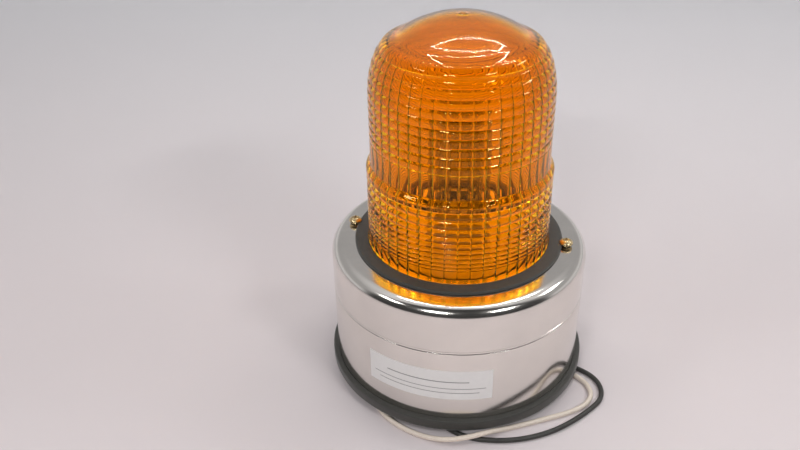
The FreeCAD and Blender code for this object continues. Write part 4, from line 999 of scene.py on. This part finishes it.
@dataclass
class SupplyLeads:
    """The two loose leads on the floor, each with its stripped and twisted end."""

    lead_radius: float = 1.6 * MM
    strand_radius: float = 0.21 * MM
    lay_radius: float = 0.43 * MM
    strand_count: int = 6
    strand_turns: float = 1.2
    strip_length: float = 8.0 * MM
    bevel_resolution: int = 5
    steps: int = 8
    routes: tuple[LeadRoute, ...] = (
        LeadRoute("white_lead", WHITE_SHEATH, 0.2643, (
            (38.2, 1.9, 14.0), (38.2, 1.9, 8.4), (41.2, 0.2, 3.1), (49.0, -4.3), (59.2, -12.8),
            (70.0, -20.4), (80.4, -26.6), (87.3, -35.0), (88.7, -45.2), (83.4, -54.4), (72.6, -61.4),
            (58.5, -67.1), (44.0, -72.9), (31.0, -77.6), (20.0, -84.4, 5.0), (8.8, -89.0, 5.0),
            (-3.6, -90.4, 3.4), (-16.0, -87.4), (-28.4, -82.2), (-40.0, -74.0), (-48.6, -63.2),
            (-52.8, -50.6), (-53.4, -38.8))),
        LeadRoute("black_lead", BLACK_SHEATH, 0.2571, (
            (41.8, 6.1, 14.0), (41.8, 6.1, 8.4), (44.9, 4.6, 3.1), (52.6, 0.6), (62.8, -7.4),
            (73.0, -14.8), (83.8, -20.4), (92.0, -27.4), (95.8, -37.4), (94.2, -48.4), (86.4, -57.4),
            (77.2, -66.0), (66.0, -74.8), (52.8, -81.8), (38.6, -86.2), (24.4, -87.6), (11.2, -86.6),
            (-0.4, -81.6), (-9.6, -73.6), (-15.4, -62.6), (-16.6, -50.8), (-12.4, -39.8),
            (-3.2, -33.0))))

    def build(self) -> None:
        """Lay both leads."""
        for route in self.routes:
            points = [Vector((*point, self.lead_radius / MM)[:3]) * MM for point in route.points]
            lead = self.lay(route, points)
            strands = self.strip(route, points)
            stand_in(lead, route.node)
            stand_in(strands, route.node + "_core")

    def lay(self, route: LeadRoute, points: list[Vector]) -> Object:
        """Make a lead as one smooth curve along its points.

        Args:
            route: The lead.
            points: Its route in metres.

        Returns:
            The curve object.
        """
        curve = bpy.data.curves.new(route.node + "_cord", "CURVE")
        curve.dimensions = "3D"
        curve.bevel_depth = self.lead_radius
        curve.bevel_resolution = self.bevel_resolution
        curve.resolution_u = self.steps
        curve.use_fill_caps = True
        spline = curve.splines.new("NURBS")
        spline.points.add(len(points) - 1)
        for spot, point in zip(spline.points, points):
            spot.co = (*point, 1.0)
        spline.order_u = 3
        spline.use_endpoint_u = True
        return wear(new_object(route.node + "_cord", curve), route.finish)

    def strip(self, route: LeadRoute, points: list[Vector]) -> Object:
        """Make a lead's stripped end, twisted strands in line with its last run.

        Args:
            route: The lead.
            points: Its route in metres.

        Returns:
            The strands.
        """
        start = bpy.data.meshes.new("strands")
        strands = TREES.grow(route.node + "_strands", Tree.STRANDS, start, COPPER, {
            "Count": self.strand_count, "Length": self.strip_length, "Lay Radius": self.lay_radius,
            "Strand Radius": self.strand_radius, "Turns": self.strand_turns})
        ahead = (points[-1] - points[-2]).normalized()
        turn = ahead.to_track_quat("Z", "Y").to_matrix().to_4x4()
        strands.data.transform(Matrix.Translation(points[-1]) @ turn)
        return strands


# ---- housing


@dataclass
class Housing:
    """The polished shells, the rubber foot ring, the sticker and what the base holds."""

    wall: float = 2.0 * MM
    spigot_wall: float = 1.5 * MM
    spigot_fit: float = 0.3 * MM
    shoulder: float = 7.5 * MM
    scribe_rise: float = 1.3 * MM
    scribe_width: float = 0.35 * MM
    scribe_depth: float = 0.3 * MM
    throat: float = 50.0 * MM
    edge: float = 0.25 * MM
    shell_sides: int = 288
    ring_reach: float = 3.5 * MM
    ring_slack: float = 0.1 * MM
    ring_slot: float = 76.8 * MM
    ring_leg: float = 2.9 * MM
    ring_leg_rise: float = 6.0 * MM
    ring_rounds: Triple = (1.0 * MM, 3.0 * MM, 1.2 * MM)
    label_gap: float = 0.05 * MM
    label_film: float = 0.12 * MM
    label_first: float = -129.7
    label_sweep: float = 55.9
    label_rows: int = 4
    label_columns: int = 40
    base: tuple[Row, ...] = (
        ("base_plate", PLATED, 0), ("base_rivets", PLATED, 0), ("pipe_hub", PLATED, 0.2),
        ("hub_rivets", PLATED, 0.2), ("lead_bushing", BLACK_MOULDING, 0.2))

    def build(self) -> None:
        """Make every piece of the housing."""
        self.lower_shell()
        self.cover()
        self.foot_ring()
        self.label()
        refine(self.base)

    def lower_shell(self) -> None:
        """The lower shell with its seam edge and spigot."""
        low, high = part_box("lower_housing")
        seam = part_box("upper_cover")[0].z - self.spigot_fit
        inner = high.x - self.wall
        spigot = inner - self.spigot_fit
        bore = spigot - self.spigot_wall
        turned("polished_lower_shell", "lower_housing", soften([
            (inner, low.z), (high.x, low.z, self.edge), (high.x, seam, self.edge),
            (spigot, seam), (spigot, high.z, self.edge), (bore, high.z, self.edge),
            (bore, seam - self.wall), (inner, seam - self.wall)], steps=3),
            POLISHED, sides=self.shell_sides)

    def cover(self) -> None:
        """The cover with its shoulder and its scribed line."""
        low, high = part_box("upper_cover")
        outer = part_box("lower_housing")[1].x
        inner = outer - self.wall
        scribe = low.z + self.scribe_rise
        turned("polished_cover", "upper_cover", soften([
            (inner, low.z), (outer, low.z, self.edge), (outer, scribe),
            (outer - self.scribe_depth, scribe + self.scribe_width / 2),
            (outer, scribe + self.scribe_width), (outer, high.z, self.shoulder),
            (self.throat, high.z, self.edge), (self.throat, high.z - self.wall),
            (inner, high.z - self.wall, self.shoulder - self.wall)], steps=12),
            POLISHED, sides=self.shell_sides)

    def foot_ring(self) -> None:
        """The rubber ring, a channel round the lower edge."""
        low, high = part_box("base_ring")
        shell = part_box("lower_housing")
        outer = min(high.x, shell[1].x + self.ring_reach)
        slot = shell[1].x + self.ring_slack
        leg = self.ring_slot - self.ring_leg
        floor = shell[0].z
        leg_top = floor + self.ring_leg_rise
        inside, below, above = self.ring_rounds
        turned("foot_ring", "base_ring", soften([
            (leg, low.z, inside), (outer, low.z, below), (outer, high.z, above),
            (slot, high.z), (slot, floor), (self.ring_slot, floor),
            (self.ring_slot, leg_top), (leg, leg_top)], steps=8), RUBBER)

    def label(self) -> None:
        """The plain sticker, a curved film with its own UV map."""
        low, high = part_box("label")
        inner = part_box("lower_housing")[1].x + self.label_gap
        first, sweep = math.radians(self.label_first), math.radians(self.label_sweep)
        rows, columns = range(self.label_rows), range(self.label_columns)
        work = bmesh.new()
        layer = work.loops.layers.uv.new("UVMap")
        corners = {}
        for skin, radius in enumerate((inner, inner + self.label_film)):
            for row in range(self.label_rows + 1):
                for column in range(self.label_columns + 1):
                    angle = first + sweep * column / self.label_columns
                    height = low.z + (high.z - low.z) * row / self.label_rows
                    spot = (radius * math.cos(angle), radius * math.sin(angle), height)
                    corners[skin, row, column] = work.verts.new(spot)
        quads = [[(skin, row, column), (skin, row, column + 1), (skin, row + 1, column + 1),
                  (skin, row + 1, column)] for row in rows for column in columns for skin in (0, 1)]
        quads += [[(0, row, column), (0, row, column + 1), (1, row, column + 1), (1, row, column)]
                  for column in columns for row in (0, self.label_rows)]
        quads += [[(0, row, column), (0, row + 1, column), (1, row + 1, column), (1, row, column)]
                  for row in rows for column in (0, self.label_columns)]
        for quad in quads:
            face = work.faces.new([corners[key] for key in quad])
            for loop, (_, row, column) in zip(face.loops, quad):
                loop[layer].uv = (column / self.label_columns, row / self.label_rows)
        mesh = written(work, bpy.data.meshes.new("blank_label"))
        tidy_mesh(mesh)
        stand_in(wear(new_object("blank_label", mesh), LABEL), "label")


# ---- lens


@dataclass
class LensSet:
    """The amber lens, its gasket, its two screws and their nuts."""

    lower_radius: float = 56.9 * MM
    upper_radius: float = 54.4 * MM
    cap_radius: float = 38.5 * MM
    lower_height: float = 54.4 * MM
    step_slope: float = 1.0 * MM
    step_ease: float = 4.0 * MM
    upper_height: float = 42.8 * MM
    shoulder_height: float = 33.3 * MM
    crown: float = 12.2 * MM
    wall: float = 2.6 * MM
    groove: float = 0.7 * MM
    upper_rings: int = 11
    upper_pitch: float = 5.35 * MM
    lower_rings: int = 10
    lower_pitch: float = 5.9 * MM
    lower_start: float = 6.5 * MM
    ring_shrink: float = 0.9
    smooth_band: float = 15.7 * MM
    flutes: int = 44
    flute_depth: float = 0.6 * MM
    flute_flatness: float = 6.0
    sides_per_flute: int = 8
    flange_thickness: float = 1.0 * MM
    foot_flare: float = 0.5 * MM
    gate_radius: float = 2.4 * MM
    gate_height: float = 0.4 * MM
    gate_top: float = 0.8
    gasket_bore: float = 55.0 * MM
    gasket_reach: float = 2.3 * MM
    gasket_slack: float = 0.1 * MM
    gasket_lip: float = 0.7 * MM
    gasket_rounds: Triple = (0.5 * MM, 0.9 * MM, 0.2 * MM)
    narrow_depth: float = 0.14
    narrow_groove: tuple[Span, ...] = (
        (0.0, 1.0), (0.05, 0.76), (0.1, 0.52), (0.16, 0.28), (0.22, 0.1), (0.29, 0.0), (0.86, 0.0),
        (0.9, 0.15), (0.94, 0.45), (0.97, 0.75))
    bulge_depth: float = 0.2
    bulge: tuple[Span, ...] = (
        (0.0, 1.0), (0.1, 0.64), (0.2, 0.36), (0.34, 0.1), (0.5, 0.0), (0.66, 0.1), (0.8, 0.36),
        (0.9, 0.64))
    fixings: tuple[Row, ...] = (
        ("lens_screw_1", BRASS, 0.12), ("lens_screw_2", BRASS, 0.12), ("lens_nuts", PLATED, 0.15))

    def build(self) -> None:
        """Make the lens and what holds it."""
        self.lens()
        self.gasket()
        refine(self.fixings)

    @cached_property
    def foot(self) -> float:
        """The flange's lower height."""
        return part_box("lens")[0].z

    @cached_property
    def step(self) -> float:
        """The height of the step between the two widths."""
        return self.foot + self.lower_height

    @cached_property
    def start(self) -> float:
        """The height where the shoulder starts."""
        return self.step + self.upper_height

    def shoulder_radius(self, height: float) -> float:
        """The lens's radius at a height on its upper rings and shoulder."""
        if height <= self.start:
            return self.upper_radius
        drop = math.sqrt(max(0.0, 1 - ((height - self.start) / self.shoulder_height) ** 2))
        return self.cap_radius + (self.upper_radius - self.cap_radius) * drop

    def rings(self, heights: list[float], radius_at: Callable[[float], float],
              profile: tuple[Span, ...], depth: float) -> list[Corner]:
        """Rings between grooves, from the highest groove down.

        Args:
            heights: The grooves' heights, highest first.
            radius_at: The lens's radius at a height.
            profile: (share of the pitch, share of the depth) from one groove down to the next.
            depth: The groove's depth as a share of the pitch.

        Returns:
            The corners of the rings.
        """
        corners = []
        for high, low in zip(heights, heights[1:]):
            for share, drop in profile:
                height = high + (low - high) * share
                corners.append(Corner(radius_at(height) - depth * (high - low) * drop, height))
        last = depth * (heights[-2] - heights[-1])
        corners.append(Corner(radius_at(heights[-1]) - last, heights[-1]))
        return corners

    def eased(self, first: float, top: float, last: float, fluted: float = 0.0,
              steps: int = 8) -> list[Corner]:
        """The soft S of the step between two radii, from its top down."""
        shares = [index / steps for index in range(steps + 1)]
        return [Corner(first + (last - first) * share * share * (3 - 2 * share),
                       top - self.step_ease * share, 0.0, fluted) for share in shares]

    def cap(self, rim_radius: float, rim: float, top: float, steps: int = 16) -> list[Corner]:
        """A spherical cap from its middle out to its rim."""
        rise = top - rim
        sphere = (rim_radius ** 2 + rise ** 2) / (rise * 2)
        widest = math.asin(rim_radius / sphere)
        angles = [widest * index / steps for index in range(steps + 1)]
        return [Corner(sphere * math.sin(angle), top - sphere + sphere * math.cos(angle))
                for angle in angles]

    def outside(self) -> list[Corner]:
        """The outer half section from the crown down to the flange.

        Returns:
            The corners.
        """
        rim = self.start + self.shoulder_height
        top = rim + self.crown
        mark = top + self.gate_height
        corners = [Corner(0.0, mark), Corner(self.gate_radius * self.gate_top, mark),
                   Corner(self.gate_radius, top)]
        corners += [c for c in self.cap(self.cap_radius, rim, top) if c.radius > self.gate_radius]
        lowest = self.step + self.smooth_band
        upper = [lowest + self.upper_pitch * index for index in range(self.upper_rings, -1, -1)]
        corners += self.rings(upper, self.shoulder_radius, self.narrow_groove, self.narrow_depth)
        corners.append(Corner(self.upper_radius, lowest))
        corners += self.eased(self.upper_radius, self.step + self.step_slope, self.lower_radius)
        lower = [self.step - self.lower_start]
        for index in range(self.lower_rings):
            lower.append(lower[-1] - self.lower_pitch * self.ring_shrink ** index)
        corners.append(Corner(self.lower_radius, lower[0]))
        corners += self.rings(lower, lambda height: self.lower_radius, self.bulge, self.bulge_depth)
        flange_top = self.foot + self.flange_thickness
        for share in (0.0, 0.25, 0.5, 0.75, 1.0):
            corners.append(Corner(self.lower_radius + self.foot_flare * share ** 2,
                                  lower[-1] + (flange_top - lower[-1]) * share))
        rim_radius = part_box("lens")[1].x
        return corners + [Corner(rim_radius, flange_top), Corner(rim_radius, self.foot)]

    def inside(self, wall_steps: int = 8, bend_steps: int = 10) -> list[Corner]:
        """The inner half section from the foot up to the crown.

        Args:
            wall_steps: Stretches of the straight wall.
            bend_steps: Stretches of the shoulder.

        Returns:
            The corners.
        """
        start = self.start
        lower = self.lower_radius - self.wall - self.groove
        upper = self.upper_radius - self.wall - self.groove
        shelf = self.step + self.step_slope - self.wall
        corners = [Corner(lower, self.foot, 0.0, 1.0)] + self.eased(upper, shelf, lower, 1.0)[::-1]
        corners += [Corner(upper, shelf + (start - shelf) * index / wall_steps, 0.0, 1.0)
                    for index in range(1, wall_steps + 1)]
        neck = self.cap_radius - self.wall
        neck_height = start + self.shoulder_height - self.wall
        for index in range(1, bend_steps + 1):
            angle = math.pi / 2 * index / bend_steps
            radius = neck + (upper - neck) * math.cos(angle)
            height = start + (neck_height - start) * math.sin(angle)
            corners.append(Corner(radius, height, 0.0, 1.0 - index / bend_steps))
        return corners + self.cap(neck, neck_height, neck_height + self.crown)[-2::-1]

    def lens(self) -> None:
        """The ribbed lens."""
        turned("ribbed_lens", "lens", self.outside() + self.inside(), AMBER, closed=False,
               sides=self.flutes * self.sides_per_flute, flutes=self.flutes,
               flute_depth=self.flute_depth, flatness=self.flute_flatness)

    def gasket(self) -> None:
        """The rubber gasket round the lens flange."""
        low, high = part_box("lens_gasket")
        lens_low, lens_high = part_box("lens")
        flange = lens_high.x + self.gasket_slack
        outer = lens_high.x + self.gasket_reach
        lip = self.lower_radius + self.gasket_lip
        flange_top = lens_low.z + self.flange_thickness
        below, above, inside = self.gasket_rounds
        turned("gasket_rubber", "lens_gasket", soften([
            (self.gasket_bore, low.z), (outer, low.z, below), (outer, high.z, above),
            (lip, high.z, inside), (lip, flange_top), (flange, flange_top),
            (flange, lens_low.z), (self.gasket_bore, lens_low.z)], steps=6), RUBBER)


# ---- flash tube and board


@dataclass
class FlashTube:
    """The plug-in flash tube and the socket and reflector round it."""

    pieces: tuple[Row, ...] = (
        ("tube_socket", CERAMIC, 0.3), ("reflector", SPUN, 0), ("tube_base", CERAMIC, 0.3),
        ("tube_pins", TIN, 0), ("tube_envelope", SMOKED_GLASS, 0), ("flash_tube", GLASS, 0),
        ("tube_electrodes", NICKEL, 0.1), ("tube_leads", NICKEL, 0), ("trigger_wire", NICKEL, 0))

    def build(self) -> None:
        """Make the tube's pieces."""
        refine(self.pieces)


@dataclass
class PowerBoard:
    """The board, its parts and the chassis over it."""

    turns: int = 28
    wire_radius: float = 0.34 * MM
    corner_radius: float = 2.0 * MM
    mounting: tuple[Row, ...] = (
        ("circuit_board", BOARD, 0), ("board_standoffs", PLATED, 0.15),
        ("chassis_posts", CHASSIS, 0.15), ("chassis_plate", CHASSIS, 0),
        ("chassis_screws", PLATED, 0.1), ("transformer_core", LAMINATION, 0.3))
    parts: tuple[Row, ...] = (
        ("storage_capacitor_1", BLUE_SLEEVE, 0), ("storage_capacitor_2", BLUE_SLEEVE, 0),
        ("trigger_capacitor", RED_CASE, 0.8), ("trigger_coil", BLACK_MOULDING, 0.6),
        ("power_resistor_1", CERAMIC, 0.5), ("power_resistor_2", CERAMIC, 0.5),
        ("trigger_thyristor", BLACK_MOULDING, 0.4), ("rectifier_diodes", BLACK_MOULDING, 0),
        ("fuse", GLASS, 0), ("fuse_clips", TIN, 0.2), ("terminal_block", GREEN_CASE, 0.4),
        ("terminal_screws", PLATED, 0.15), ("lamp_wires", RED_SHEATH, 0),
        ("white_inner_lead", WHITE_SHEATH, 0), ("black_inner_lead", BLACK_SHEATH, 0))

    def build(self) -> None:
        """Make the board's pieces."""
        refine(self.mounting)
        self.winding()
        refine(self.parts)

    def winding(self) -> None:
        """The transformer's winding, turn by turn."""
        low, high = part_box("transformer_winding")
        piece = TREES.grow("copper_winding", Tree.WINDING, bpy.data.meshes.new("winding"), ENAMEL, {
            "Turns": self.turns, "Length": high.x - low.x, "Width": high.y - low.y,
            "Height": high.z - low.z, "Wire Radius": self.wire_radius,
            "Corner Radius": self.corner_radius})
        centre = (low + high) / 2
        piece.data.transform(Matrix.Translation((centre.x, centre.y, low.z)))
        stand_in(piece, "transformer_winding")


def main() -> None:
    """Build the studio and every sub-assembly in order."""
    logging.basicConfig(level=logging.INFO, format="%(name)s: %(message)s")
    for part in (Camera(), SupplyLeads(), Studio(), Housing(), LensSet(), FlashTube(), PowerBoard()):
        part.build()


if __name__ == "__main__":
    main()
